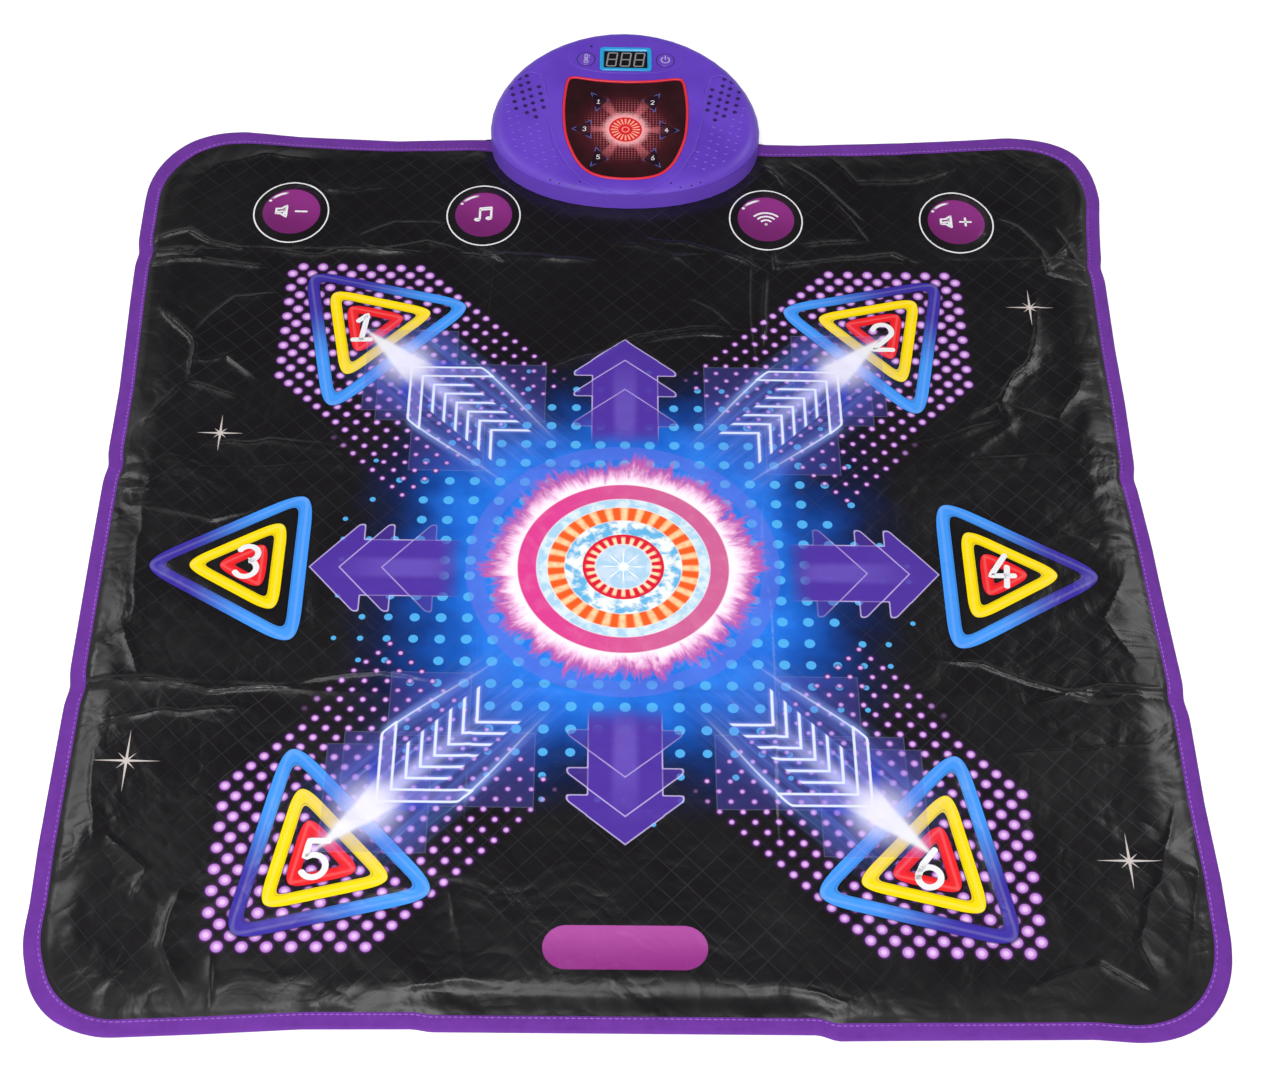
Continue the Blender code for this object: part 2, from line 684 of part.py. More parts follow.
# Console shells.
def make_bottom_shell():
    bevel = BOTTOM_ROUND * 0.3
    bm = bmesh.new()
    add_layers(bm, (
        (console_plan(BOTTOM_ROUND), FLOOR_Z), (console_plan(bevel), FLOOR_Z + bevel),
        (console_plan(0.0), FLOOR_Z + BOTTOM_ROUND), (console_plan(0.0), SPLIT_Z - GAP),
        (console_plan(WALL), SPLIT_Z - GAP), (console_plan(WALL), FRONT_FLOOR_TOP + WALL),
        (console_plan(2 * WALL), FRONT_FLOOR_TOP),
    ))
    shell = add_object("bottom_shell", bm, BASE_LOOK)
    bm = bmesh.new()
    add_prism(bm, clip(console_plan(2 * WALL), STEP_Y + WALL, True), FLOOR_Z + WALL, FRONT_FLOOR_TOP + SKIM)
    combine(shell, "DIFFERENCE", bm)
    root = FLOOR_Z + WALL - BITE
    bm = bmesh.new()
    well = rectangle(-HALF_ROW - WALL, HALF_ROW + WALL, WELL_FRONT_Y - WALL, WELL_REAR_Y + WALL)
    add_prism(bm, well, root, WELL_TOP + WALL)
    for point in REAR_SCREWS:
        add_prism(bm, circle(point, HEAD_BORE + TALL_BOSS_WALL, 14), root, REAR_BOSS_TOP)
    for point in FRONT_SCREWS:
        add_prism(bm, circle(point, BOSS_RADIUS, 12), FRONT_FLOOR_TOP - BITE, FRONT_BOSS_TOP)
    combine(shell, "UNION", bm)
    bm = bmesh.new()
    over = HALF_ROW + LEDGE_OVER
    ledge = rectangle(-over, over, WELL_REAR_Y + LEDGE_OVER, DOOR_REAR_Y + WALL)
    add_prism(bm, ledge, root, FLOOR_Z + LEDGE_HEIGHT)
    combine(shell, "UNION", bm)
    bm = bmesh.new()
    side = CONSOLE_HALF_X + CUT_PAST
    add_prism(bm, rectangle(-side, side, FRONT_Y - CUT_PAST, STEP_Y), -CUT_PAST, FRONT_FLOOR_Z)
    combine(shell, "DIFFERENCE", bm)
    bm = bmesh.new()
    add_prism(bm, rectangle(-HALF_ROW, HALF_ROW, WELL_FRONT_Y, WELL_REAR_Y), 0.0, WELL_TOP)
    for point in FRONT_SCREWS:
        add_prism(bm, circle(point, SCREW_BORE, 10), FRONT_FLOOR_Z - CUT_PAST, FRONT_BOSS_TOP + CUT_PAST)
    for point in REAR_SCREWS:
        step = REAR_HEAD_Z + HEAD_THICK + 2 * GAP
        add_lathe(bm, (
            (HEAD_BORE, 0.0), (HEAD_BORE, step), (SCREW_BORE, step), (SCREW_BORE, REAR_BOSS_TOP + CUT_PAST),
        ), point, 12)
    add_prism(bm, tail_slot(), FRONT_FLOOR_Z - CUT_PAST, FRONT_FLOOR_TOP + CUT_PAST)
    combine(shell, "DIFFERENCE", bm)
    lip = HALF_ROW + DOOR_LIP
    bm = bmesh.new()
    seat = rectangle(-lip, lip, WELL_FRONT_Y - DOOR_LIP, DOOR_REAR_Y + GAP)
    add_prism(bm, seat, 0.0, FLOOR_Z + DOOR_THICK + GAP)
    combine(shell, "DIFFERENCE", bm)
    bm = bmesh.new()
    add_prism(bm, circle(DOOR_SCREW, LEDGE_BORE, 10), 0.0, FLOOR_Z + LEDGE_BORE_DEPTH)
    combine(shell, "DIFFERENCE", bm)
    shade(shell, 32)


def dome(wall, rounding, steps):
    """Rings from the parting line up over the rounded rim to the sloping top, a wall inside the outside."""
    rings = []
    for step in range(steps + 1):
        angle = math.pi / 2 * step / steps
        ring = []
        for x, y in console_plan(wall + rounding * (1 - math.cos(angle))):
            rise = slope_height(y, -wall) - SPLIT_Z
            ring.append((x, y, SPLIT_Z + rise * math.sin(angle)))
        rings.append(ring)
    return rings


def window_loop():
    """The outline of one half, stretched to reach the pod at the rear and its margin at the front."""
    heights = [v for _, v in WINDOW_HALF]
    rear = WINDOW_REAR_V / max(heights)
    front = -WINDOW_FRONT_V / min(heights)
    right = [(x, v * (rear if v > 0 else front)) for x, v in WINDOW_HALF]
    left = [(-x, v) for x, v in reversed(right[1:-1])]
    return list(reversed(smooth_loop(right + left)))


def bezel_loop(grow):
    return rounded_rectangle(BEZEL_HALF_X + grow, BEZEL_HALF_V + grow, BEZEL_CORNER + grow, 3, (0.0, BEZEL_V))


def posts():
    return [(sx * POST_X, v) for sx in (-1, 1) for v in POST_VS]


def grille_spots():
    """Slanted rows of holes inside a leaning oval, for the right wing."""
    spots = []
    for row in range(-4, 5):
        for column in range(-3, 4):
            x = (column + 0.5) * GRILLE_PITCH_X + row * GRILLE_SLANT_X
            v = (row + (column % 2) / 2) * GRILLE_PITCH_V - column * GRILLE_SLANT_V
            if ((x - GRILLE_LEAN * v) / GRILLE_HALF_X) ** 2 + (v / GRILLE_HALF_V) ** 2 < 1.0:
                spots.append((GRILLE_X - x, GRILLE_V + v))
    return spots


def add_to_top_shell(shell):
    pod = power_oval((0.0, POD_V), POD_HALF_X, (POD_HALF_V, POD_HALF_V), (POD_POWER, POD_POWER), 32)
    bm = bmesh.new()
    add_layers(bm, (
        (inset(pod, SKIM), -WALL / 2), (pod, SKIM), (inset(pod, POD_RISE * 0.4), POD_RISE * 0.75),
        (inset(pod, POD_RISE), POD_RISE),
    ), on_slope)
    combine(shell, "UNION", bm)
    bm = bmesh.new()
    for point in posts():
        add_prism(bm, circle(point, POST_RADIUS, 12), BOARD_TOP + GAP, -WALL / 2, on_slope)
    for sx in (-1, 1):
        collar = circle((sx * SPEAKER_X, SPEAKER_V), SPEAKER_RADIUS + GAP, 16)
        rim = circle((sx * SPEAKER_X, SPEAKER_V), SPEAKER_RADIUS + GAP + COLLAR_WALL, 16)
        add_layers(bm, (
            (collar, -WALL / 2), (collar, -COLLAR_DEPTH), (rim, -COLLAR_DEPTH), (rim, -WALL / 2),
        ), on_slope, True)
    for point in FRONT_SCREWS:
        root = slope_height(point[1]) - WALL / 2
        add_prism(bm, circle(point, BOSS_RADIUS, 12), FRONT_BOSS_TOP + GAP, root)
    for point in REAR_SCREWS:
        root = slope_height(point[1]) - WALL / 2
        add_prism(bm, circle(point, TALL_BOSS_RADIUS, 12), REAR_BOSS_TOP + GAP, root)
    combine(shell, "UNION", bm)


def cut_top_shell(shell):
    low = -WALL - CUT_PAST
    high = POD_RISE + CUT_PAST
    bm = bmesh.new()
    add_prism(bm, window_loop(), low, high, on_slope)
    add_prism(bm, bezel_loop(GAP), low, high, on_slope)
    for sx in (-1, 1):
        add_prism(bm, circle((sx * BUTTON_X, BUTTON_V), BUTTON_RADIUS + GAP, 20), low, high, on_slope)
    add_prism(bm, circle((SENSOR_X, SENSOR_V), SENSOR_RADIUS, 8), low, high, on_slope)
    for point in posts():
        add_prism(bm, circle(point, POST_BORE, 8), BOARD_TOP - CUT_PAST, -2 * WALL, on_slope)
    for points, start in ((FRONT_SCREWS, FRONT_BOSS_TOP), (REAR_SCREWS, REAR_BOSS_TOP)):
        for point in points:
            end = slope_height(point[1]) - 2 * WALL
            add_prism(bm, circle(point, SCREW_BORE, 10), start - CUT_PAST, end)
    combine(shell, "DIFFERENCE", bm)
    bm = bmesh.new()
    for x, v in grille_spots():
        for sx in (-1, 1):
            add_prism(bm, circle((sx * x, v), GRILLE_HOLE, 6), -2 * WALL, WALL, on_slope)
    combine(shell, "DIFFERENCE", bm)
    bm = bmesh.new()
    for sx in (-1, 1):
        line = [(sx * (CONSOLE_HALF_X - x), v) for x, v in WING_LINE]
        normals = inward_normals(line, closed=False)
        near = [(x + n.x * GROOVE_HALF, v + n.y * GROOVE_HALF) for (x, v), n in zip(line, normals)]
        far = [(x - n.x * GROOVE_HALF, v - n.y * GROOVE_HALF) for (x, v), n in zip(line, normals)]
        add_prism(bm, near + far[::-1], -GROOVE_DEPTH, WALL, on_slope)
    combine(shell, "DIFFERENCE", bm)


def make_top_shell():
    bm = bmesh.new()
    add_rings(bm, dome(WALL, TOP_ROUND - WALL, 3)[::-1] + dome(0.0, TOP_ROUND, 6))
    shell = add_object("top_shell", bm, CASE_LOOK)
    add_to_top_shell(shell)
    cut_top_shell(shell)
    shade(shell, 32)


# Window, its trim and the display.
def make_window():
    opening = window_loop()
    outer = inset(opening, GAP)
    inner = inset(opening, GAP + TRIM_WIDTH)
    bm = bmesh.new()
    add_layers(bm, (
        (outer, -WALL), (outer, TRIM_RISE * 0.3), (inset(opening, GAP + TRIM_WIDTH * 0.3), TRIM_RISE),
        (inset(opening, GAP + TRIM_WIDTH * 0.8), TRIM_RISE), (inner, TRIM_RISE * 0.3), (inner, -WALL),
    ), on_slope, True)
    add_object("window_trim", bm, material("trim_red", (0.8, 0.03, 0.05), 0.35), 40)
    pane = inset(inner, GAP)
    flange = inset(opening, -WINDOW_FLANGE)
    bm = bmesh.new()
    add_layers(bm, (
        (flange, UNDER_TOP - PANE_THICK), (flange, UNDER_TOP), (pane, UNDER_TOP), (pane, -PANE_DROP),
    ), on_slope)
    add_object("panel_window", bm, material("window_dark_red", (0.05, 0.008, 0.012), 0.15))


def display_hole(grow):
    half_x = BEZEL_HALF_X - BEZEL_WALL + grow
    half_v = BEZEL_HALF_V - BEZEL_WALL + grow
    return rounded_rectangle(half_x, half_v, SCREEN_CORNER + grow, 3, (0.0, BEZEL_V))


def add_digit_bars(bm, centre_x):
    """Seven slanted bars that stand a little out of the display's face."""
    half = DIGIT_BAR / 2
    rows = [((-DIGIT_HALF_X, v), (DIGIT_HALF_X, v)) for v in (-DIGIT_HALF_V, 0.0, DIGIT_HALF_V)]
    columns = []
    for x in (-DIGIT_HALF_X, DIGIT_HALF_X):
        columns += [((x, -DIGIT_HALF_V), (x, 0.0)), ((x, 0.0), (x, DIGIT_HALF_V))]
    for start, end in rows + columns:
        along = (Vector(end) - Vector(start)).normalized()
        side = Vector((-along.y, along.x)) * half
        a = Vector(start) + along * (half + GAP)
        b = Vector(end) - along * (half + GAP)
        corners = (a - side, b - side, b + side, a + side)
        loop = [(centre_x + p.x + DIGIT_LEAN * p.y, BEZEL_V + p.y) for p in corners]
        add_prism(bm, loop, -BITE, DIGIT_RISE, on_slope)


def make_display():
    low = UNDER_TOP - PANE_THICK
    top = POD_RISE + BEZEL_RISE
    bm = bmesh.new()
    add_layers(bm, (
        (bezel_loop(BEZEL_FLANGE), low), (bezel_loop(BEZEL_FLANGE), UNDER_TOP), (bezel_loop(0.0), UNDER_TOP),
        (bezel_loop(0.0), top - BEZEL_EDGE), (bezel_loop(-BEZEL_EDGE), top),
        (display_hole(SCREEN_CORNER), top), (display_hole(0.0), top - 2 * BEZEL_EDGE),
        (display_hole(0.0), low),
    ), on_slope, True)
    add_object("display_bezel", bm, material("bezel_cyan", (0.03, 0.4, 0.75), 0.35), 40)
    bm = bmesh.new()
    add_prism(bm, display_hole(-GAP), BOARD_TOP + GAP, 0.0, on_slope)
    module = add_object("display_module", bm, material("display_black", (0.015, 0.015, 0.017), 0.2))
    bm = bmesh.new()
    for digit in (-1, 0, 1):
        add_digit_bars(bm, digit * DIGIT_PITCH)
    combine(module, "UNION", bm)


# Buttons.
def make_button(name, sx):
    cap = POD_RISE + BUTTON_RISE
    neck = UNDER_TOP - BUTTON_FLANGE
    skirt = BUTTON_RADIUS + BUTTON_FLANGE
    centre = (sx * BUTTON_X, BUTTON_V)
    bm = bmesh.new()
    add_lathe(bm, (
        (STEM_RADIUS, STEM_LOW), (STEM_RADIUS, neck), (skirt, neck), (skirt, UNDER_TOP),
        (BUTTON_RADIUS, UNDER_TOP), (BUTTON_RADIUS, cap - BUTTON_EDGE), (BUTTON_RADIUS - BUTTON_EDGE, cap),
    ), centre, 20, on_slope)
    look = material(name + "_purple", (0.15, 0.06, 0.48), 0.35)
    add_object(name, bm, look, 35, on_slope(*centre, cap))


# Board with what is soldered to it, its switches and its screws.
def connector_v():
    """The connector sits straight above the slot where the tail comes up."""
    drop = (BOARD_LOW - CONNECTOR_DROP) * math.sin(TILT)
    return (TAIL_RISE_Y - CONSOLE_Y + drop) / math.cos(TILT)


def make_board():
    middle = (BOARD_REAR_V + BOARD_FRONT_V) / 2
    loop = rounded_rectangle(BOARD_HALF_X, BOARD_REAR_V - middle, BOARD_CORNER, 4, (0.0, middle))
    bm = bmesh.new()
    add_prism(bm, loop, BOARD_LOW, BOARD_TOP, on_slope)
    board = add_object("main_board", bm, material("board_green", (0.02, 0.16, 0.06), 0.45))
    root = BOARD_TOP - BITE
    top = BOARD_TOP + PART_RISE
    bm = bmesh.new()
    for x, v in LED_SPOTS:
        for centre_x in (-x, x):
            square = rectangle(centre_x - LED_HALF, centre_x + LED_HALF, v - LED_HALF, v + LED_HALF)
            add_prism(bm, square, root, top, on_slope)
    chip = rectangle(-CHIP_HALF, CHIP_HALF, CHIP_V - CHIP_HALF, CHIP_V + CHIP_HALF)
    add_prism(bm, chip, root, top, on_slope)
    add_lathe(bm, (
        (LIGHT_PIPE, root), (LIGHT_PIPE, UNDER_TOP - LIGHT_PIPE), (LIGHT_PIPE_TIP, UNDER_TOP),
    ), (SENSOR_X, SENSOR_V), 8, on_slope)
    half_x = TAIL_HALF_X + CONNECTOR_SIDE
    v = connector_v()
    connector = rectangle(-half_x, half_x, v - CONNECTOR_HALF_V, v + CONNECTOR_HALF_V)
    add_prism(bm, connector, BOARD_LOW - CONNECTOR_DROP, BOARD_LOW + BITE, on_slope)
    combine(board, "UNION", bm)
    bm = bmesh.new()
    for point in posts():
        add_prism(bm, circle(point, POST_BORE, 8), BOARD_LOW - CUT_PAST, BOARD_TOP + CUT_PAST, on_slope)
    combine(board, "DIFFERENCE", bm)


def make_tact_switch(name, sx):
    top = STEM_LOW - BUTTON_TRAVEL - GAP
    centre = (sx * BUTTON_X, BUTTON_V)
    box = rounded_rectangle(SWITCH_HALF, SWITCH_HALF, SWITCH_HALF / 8, 1, centre)
    knob = rounded_rectangle(SWITCH_KNOB, SWITCH_KNOB, SWITCH_KNOB * 0.9, 1, centre)
    case_top = top - SWITCH_KNOB_RISE
    bm = bmesh.new()
    add_layers(bm, ((box, BOARD_TOP + GAP), (box, case_top), (knob, case_top), (knob, top)), on_slope)
    add_object(name, bm, material(name + "_black", (0.02, 0.02, 0.02), 0.4))


def make_board_screw(name, point):
    low = BOARD_LOW - GAP
    bm = bmesh.new()
    add_lathe(bm, (
        (BOARD_SCREW_HEAD, low - BOARD_SCREW_HEAD_THICK), (BOARD_SCREW_HEAD, low), (BOARD_SCREW, low),
        (BOARD_SCREW, BOARD_TOP + BOARD_SCREW_REACH),
    ), point, 8, on_slope)
    add_object(name, bm, STEEL_LOOK)


def make_tail():
    """Flat film tail from the insert's notch, between the sheets and up through the floor to the board."""
    start = FRONT_Y - NOTCH_MARGIN + TAIL_CLEAR
    ramp = FRONT_Y + GAP
    share = (SLOPE_RUN + TAIL_CLEAR) / NOTCH_MARGIN
    start_z = BACK_THICK + CLAMP_BACK_Z * share + GAP
    end_z = slope_height(TAIL_RISE_Y, BOARD_LOW - CONNECTOR_DROP) - 2 * GAP
    far = TAIL_RISE_Y + TAIL_THICK
    high = TAIL_Z + TAIL_THICK
    side = (
        (start, start_z), (ramp, TAIL_Z), (far, TAIL_Z), (far, end_z),
        (TAIL_RISE_Y, end_z), (TAIL_RISE_Y, high), (ramp, high), (start, start_z + TAIL_THICK),
    )
    bm = bmesh.new()
    add_rings(bm, [[(x, y, z) for y, z in side] for x in (-TAIL_HALF_X, TAIL_HALF_X)])
    add_object("membrane_tail", bm, material("tail_film", (0.7, 0.66, 0.45), 0.3))


# Speakers behind the wings, each bonded into a collar of the top shell.
def make_speaker(side, sx):
    centre = (sx * SPEAKER_X, SPEAKER_V)
    top = UNDER_TOP
    rim = SPEAKER_RADIUS
    magnet = rim * 0.5
    bm = bmesh.new()
    add_lathe(bm, (
        (magnet, top - SPEAKER_DEPTH), (magnet, top - SPEAKER_DEPTH + MAGNET_THICK),
        (rim * 0.9, top - SPEAKER_SHOULDER), (rim, top - SPEAKER_RIM), (rim, top), (rim * 0.9, top),
        (rim * 0.43, top - SPEAKER_DEPTH / 2),
    ), centre, 16, on_slope)
    add_object("speaker_frame_" + side, bm, material("speaker_steel_" + side, (0.3, 0.3, 0.32), 0.4, 0.9), 35)
    bm = bmesh.new()
    add_lathe(bm, (
        (rim * 0.40, top - SPEAKER_DEPTH / 2 + GAP), (rim * 0.9 - 2 * GAP, top - GAP),
        (rim * 0.9 - 2 * GAP - CONE_RIM, top - GAP), (rim * 0.33, top - SPEAKER_DEPTH * 0.4),
        (0.0, top - SPEAKER_DEPTH * 0.3),
    ), centre, 16, on_slope)
    add_object("speaker_cone_" + side, bm, material("speaker_paper_" + side, (0.03, 0.03, 0.032), 0.8), 35)


# Battery well.
def make_cell(index):
    x = (index - (CELLS - 1) / 2) * CELL_PITCH
    front = (WELL_FRONT_Y + WELL_REAR_Y - CELL_LENGTH) / 2
    edge = CELL_RADIUS - CELL_EDGE
    profile = [
        (CELL_STUD, 0.0), (CELL_STUD, CELL_STUD_RISE), (edge, CELL_STUD_RISE),
        (CELL_RADIUS, CELL_STUD_RISE + CELL_EDGE), (CELL_RADIUS, CELL_LENGTH),
    ]
    if index % 2:
        profile = [(radius, CELL_LENGTH - along) for radius, along in profile]
    bm = bmesh.new()
    add_lathe(bm, [(radius, front + along) for radius, along in profile], (x, CELL_Z), 14, lying)
    look = material(f"cell_wrap_{index + 1}", (0.1, 0.3, 0.16), 0.35, 0.3)
    add_object(f"battery_cell_{index + 1}", bm, look, 35)


def make_contact(name, end):
    """Contact strip at one end of the well, with a tapered spring or a stud to each cell."""
    wall = WELL_FRONT_Y + GAP if end < 0 else WELL_REAR_Y - GAP
    face = (WELL_FRONT_Y + WELL_REAR_Y + end * CELL_LENGTH) / 2 + end * GAP
    plate = wall - end * CONTACT_THICK
    bm = bmesh.new()
    strip = rectangle(GAP - HALF_ROW, HALF_ROW - GAP, CELL_Z - CONTACT_HALF_Z, CELL_Z + CONTACT_HALF_Z)
    add_prism(bm, strip, min(wall, plate), max(wall, plate), lying)
    contact = add_object(name, bm, STEEL_LOOK)
    bm = bmesh.new()
    for index in range(CELLS):
        x = (index - (CELLS - 1) / 2) * CELL_PITCH
        foot = SPRING_FOOT if (index % 2 == 1) == (end < 0) else STUD_FOOT
        add_lathe(bm, ((foot, plate + end * CONTACT_THICK / 2), (CONTACT_TIP, face)), (x, CELL_Z), 10, lying)
    combine(contact, "UNION", bm)


def make_battery_door():
    lip = HALF_ROW + DOOR_LIP - GAP
    front = WELL_FRONT_Y - DOOR_LIP + GAP
    hinge = (0.0, front, FLOOR_Z)
    bm = bmesh.new()
    add_prism(bm, rectangle(-lip, lip, front, DOOR_REAR_Y), FLOOR_Z, FLOOR_Z + DOOR_THICK)
    door = add_object("battery_door", bm, BASE_LOOK, origin=hinge)
    bm = bmesh.new()
    seat = FLOOR_Z + DOOR_SEAT_DEPTH
    wide = DOOR_SCREW_HEAD + GAP
    narrow = DOOR_SCREW_SHANK + GAP
    through = FLOOR_Z + DOOR_THICK + CUT_PAST
    add_lathe(bm, ((wide, 0.0), (wide, seat), (narrow, seat), (narrow, through)), DOOR_SCREW, 12)
    combine(door, "DIFFERENCE", bm)
    neck = FLOOR_Z + DOOR_SCREW_HEAD_THICK
    bm = bmesh.new()
    add_lathe(bm, (
        (DOOR_SCREW_HEAD, FLOOR_Z), (DOOR_SCREW_HEAD, neck), (DOOR_SCREW_SHANK, neck),
        (DOOR_SCREW_SHANK, FLOOR_Z + DOOR_SCREW_LENGTH),
    ), DOOR_SCREW, 10)
    add_object("battery_door_screw", bm, STEEL_LOOK, origin=hinge)


# Clamp plate under the mat's rear edge, long screws, and feet.
def make_clamp_plate():
    bm = bmesh.new()
    add_prism(bm, clip(console_plan(PLATE_INSET), CLAMP_END_Y - SLOPE_RUN, False), 0.0, PLATE_THICK)
    plate = add_object("clamp_plate", bm, BASE_LOOK)
    bm = bmesh.new()
    step = HEAD_THICK + 2 * GAP
    through = PLATE_THICK + CUT_PAST
    bore = ((HEAD_BORE, -CUT_PAST), (HEAD_BORE, step), (SCREW_BORE, step), (SCREW_BORE, through))
    for point in FRONT_SCREWS:
        add_lathe(bm, bore, point, 12)
    combine(plate, "DIFFERENCE", bm)


def make_case_screw(name, point, head_z):
    tip = slope_height(point[1]) - SCREW_BELOW_TOP
    neck = head_z + HEAD_THICK
    bm = bmesh.new()
    profile = ((HEAD_RADIUS, head_z), (HEAD_RADIUS, neck), (SCREW_RADIUS, neck), (SCREW_RADIUS, tip))
    add_lathe(bm, profile, point, 10)
    add_object(name, bm, STEEL_LOOK)


def make_foot(name, point, look):
    bm = bmesh.new()
    add_prism(bm, circle(point, FOOT_RADIUS, 14), 0.0, FLOOR_Z - GAP)
    add_object(name, bm, look)


def make_mat():
    step_pads, menu_pads = pad_outlines()
    looks = {
        "vinyl": material("black_vinyl", (0.03, 0.028, 0.03), 0.42),
        "backing": material("grey_backing", (0.045, 0.045, 0.05), 0.8),
        "film": material("clear_film", (0.75, 0.76, 0.74), 0.3),
        "foam": material("grey_foam", (0.55, 0.55, 0.57), 0.9),
        "tape": material("purple_tape", (0.2, 0.05, 0.42), 0.7),
    }
    pads = list(step_pads.values()) + list(menu_pads.values())
    make_mat_panel("rear", looks, [loop for loop in pads if min(y for _, y in loop) > FOLD_Y])
    make_mat_panel("front", looks, [loop for loop in pads if max(y for _, y in loop) < FOLD_Y])
    make_pads(step_pads, material("step_pad_blue", (0.05, 0.16, 0.6), 0.4))
    make_pads(menu_pads, material("menu_pad_plum", (0.24, 0.03, 0.22), 0.4))


def make_console():
    make_bottom_shell()
    make_top_shell()
    make_window()
    make_display()
    for name, sx in (("level", -1), ("power", 1)):
        make_button(name + "_button", sx)
        make_tact_switch(name + "_switch", sx)
    make_board()
    for number, point in enumerate(posts(), 1):
        make_board_screw(f"board_screw_{number}", point)
    make_tail()
    make_speaker("left", -1)
    make_speaker("right", 1)
    for index in range(CELLS):
        make_cell(index)
    make_contact("battery_contact_front", -1)
    make_contact("battery_contact_rear", 1)
    make_battery_door()
    make_clamp_plate()
    for number, point in enumerate(FRONT_SCREWS, 1):
        make_case_screw(f"front_screw_{number}", point, GAP)
    for number, point in enumerate(REAR_SCREWS, 1):
        make_case_screw(f"rear_screw_{number}", point, REAR_HEAD_Z)
    rubber = material("foot_rubber", (0.02, 0.02, 0.022), 0.9)
    for number, point in enumerate(FEET, 1):
        make_foot(f"rubber_foot_{number}", point, rubber)


make_mat()
make_console()
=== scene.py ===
import json
import math

import bmesh
import bpy
import numpy as np
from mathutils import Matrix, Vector
from mathutils.bvhtree import BVHTree
from mathutils.geometry import delaunay_2d_cdt

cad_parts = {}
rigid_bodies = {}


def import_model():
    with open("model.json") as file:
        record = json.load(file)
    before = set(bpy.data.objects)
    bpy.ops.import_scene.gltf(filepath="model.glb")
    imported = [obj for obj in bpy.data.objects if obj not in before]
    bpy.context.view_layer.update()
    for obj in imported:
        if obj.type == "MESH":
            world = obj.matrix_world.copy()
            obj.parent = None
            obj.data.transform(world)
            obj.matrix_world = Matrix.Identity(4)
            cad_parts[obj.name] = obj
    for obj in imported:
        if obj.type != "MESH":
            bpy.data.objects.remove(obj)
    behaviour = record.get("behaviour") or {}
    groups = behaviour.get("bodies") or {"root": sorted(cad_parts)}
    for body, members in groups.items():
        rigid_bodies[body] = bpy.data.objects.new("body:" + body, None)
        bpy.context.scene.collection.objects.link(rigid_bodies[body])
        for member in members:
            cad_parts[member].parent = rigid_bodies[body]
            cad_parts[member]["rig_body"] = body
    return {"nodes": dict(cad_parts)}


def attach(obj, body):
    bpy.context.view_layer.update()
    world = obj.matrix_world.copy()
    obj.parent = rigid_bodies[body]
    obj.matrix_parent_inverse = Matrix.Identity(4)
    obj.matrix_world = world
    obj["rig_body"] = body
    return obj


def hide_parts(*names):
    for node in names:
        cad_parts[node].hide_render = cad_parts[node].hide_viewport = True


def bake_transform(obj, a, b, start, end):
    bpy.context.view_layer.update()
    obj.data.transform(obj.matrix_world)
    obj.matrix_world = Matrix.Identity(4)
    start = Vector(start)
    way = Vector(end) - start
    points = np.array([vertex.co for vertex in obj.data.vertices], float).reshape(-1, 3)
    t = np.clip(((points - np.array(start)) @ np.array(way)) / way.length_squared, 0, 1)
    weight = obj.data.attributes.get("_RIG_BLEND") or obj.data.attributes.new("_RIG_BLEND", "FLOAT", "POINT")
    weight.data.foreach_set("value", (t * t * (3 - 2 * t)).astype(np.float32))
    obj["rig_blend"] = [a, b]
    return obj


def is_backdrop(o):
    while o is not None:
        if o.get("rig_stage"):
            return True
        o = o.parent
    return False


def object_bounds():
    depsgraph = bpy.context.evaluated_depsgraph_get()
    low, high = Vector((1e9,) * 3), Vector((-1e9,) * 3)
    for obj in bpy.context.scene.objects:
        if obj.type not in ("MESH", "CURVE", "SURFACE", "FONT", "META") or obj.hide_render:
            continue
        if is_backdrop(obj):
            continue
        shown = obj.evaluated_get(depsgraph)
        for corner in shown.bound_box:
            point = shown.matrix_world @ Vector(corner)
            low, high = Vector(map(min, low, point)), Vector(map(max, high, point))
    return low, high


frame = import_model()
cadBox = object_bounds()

panelRear = "rear mat and console"
panelFront = "front mat"
nodes = frame["nodes"]

# The mat, in metres from its own middle; shiftY takes its places to the frame's y.
mat = {
    "halfX": 0.46, "halfY": 0.49, "corner": 0.085, "shiftY": -0.0635, "foldY": 0.052,
    "topZ": 0.0050, "edgeZ": 0.0026, "underConsoleZ": 0.0042,
    "insertMargin": 0.042, "insertCorner": 0.05, "patternY": -0.061,
}
foldAt = mat["foldY"] + mat["shiftY"]
consolePlan = {
    "y": 0.485, "halfX": 0.1355, "front": 0.095, "rear": 0.132, "powerFront": 2.15, "powerRear": 1.95,
}
slope = {"y": consolePlan["y"] + mat["shiftY"], "z": 0.0351, "tilt": math.radians(5.45)}
stepPad = {
    "radius": 0.0135,
    "corner": ((0.2875, 0.3385), (0.1675, 0.3085), (0.2630, 0.2045)),
    "side": ((0.3900, 0.0), (0.2895, 0.0610), (0.2895, -0.0610)),
}
menuPad = {"y": 0.3765, "outerX": 0.327, "innerX": 0.139, "radiusX": 0.0363, "radiusY": 0.0425}
menuAt = {
    "volume_down_pad": -menuPad["outerX"], "mode_pad": -menuPad["innerX"],
    "wireless_pad": menuPad["innerX"], "volume_up_pad": menuPad["outerX"],
}


def say(stage):
    print("scene:", stage, flush=True)


def linear(red, green, blue):
    # screen colour 0-255 to the shader's linear values, by the sRGB curve
    parts = (part / 255 for part in (red, green, blue))
    return (*(part / 12.92 if part <= 0.04045 else ((part + 0.055) / 1.055) ** 2.4 for part in parts), 1.0)


def inksOf(table):
    return {name: linear(*colour) for name, colour in table.items()}


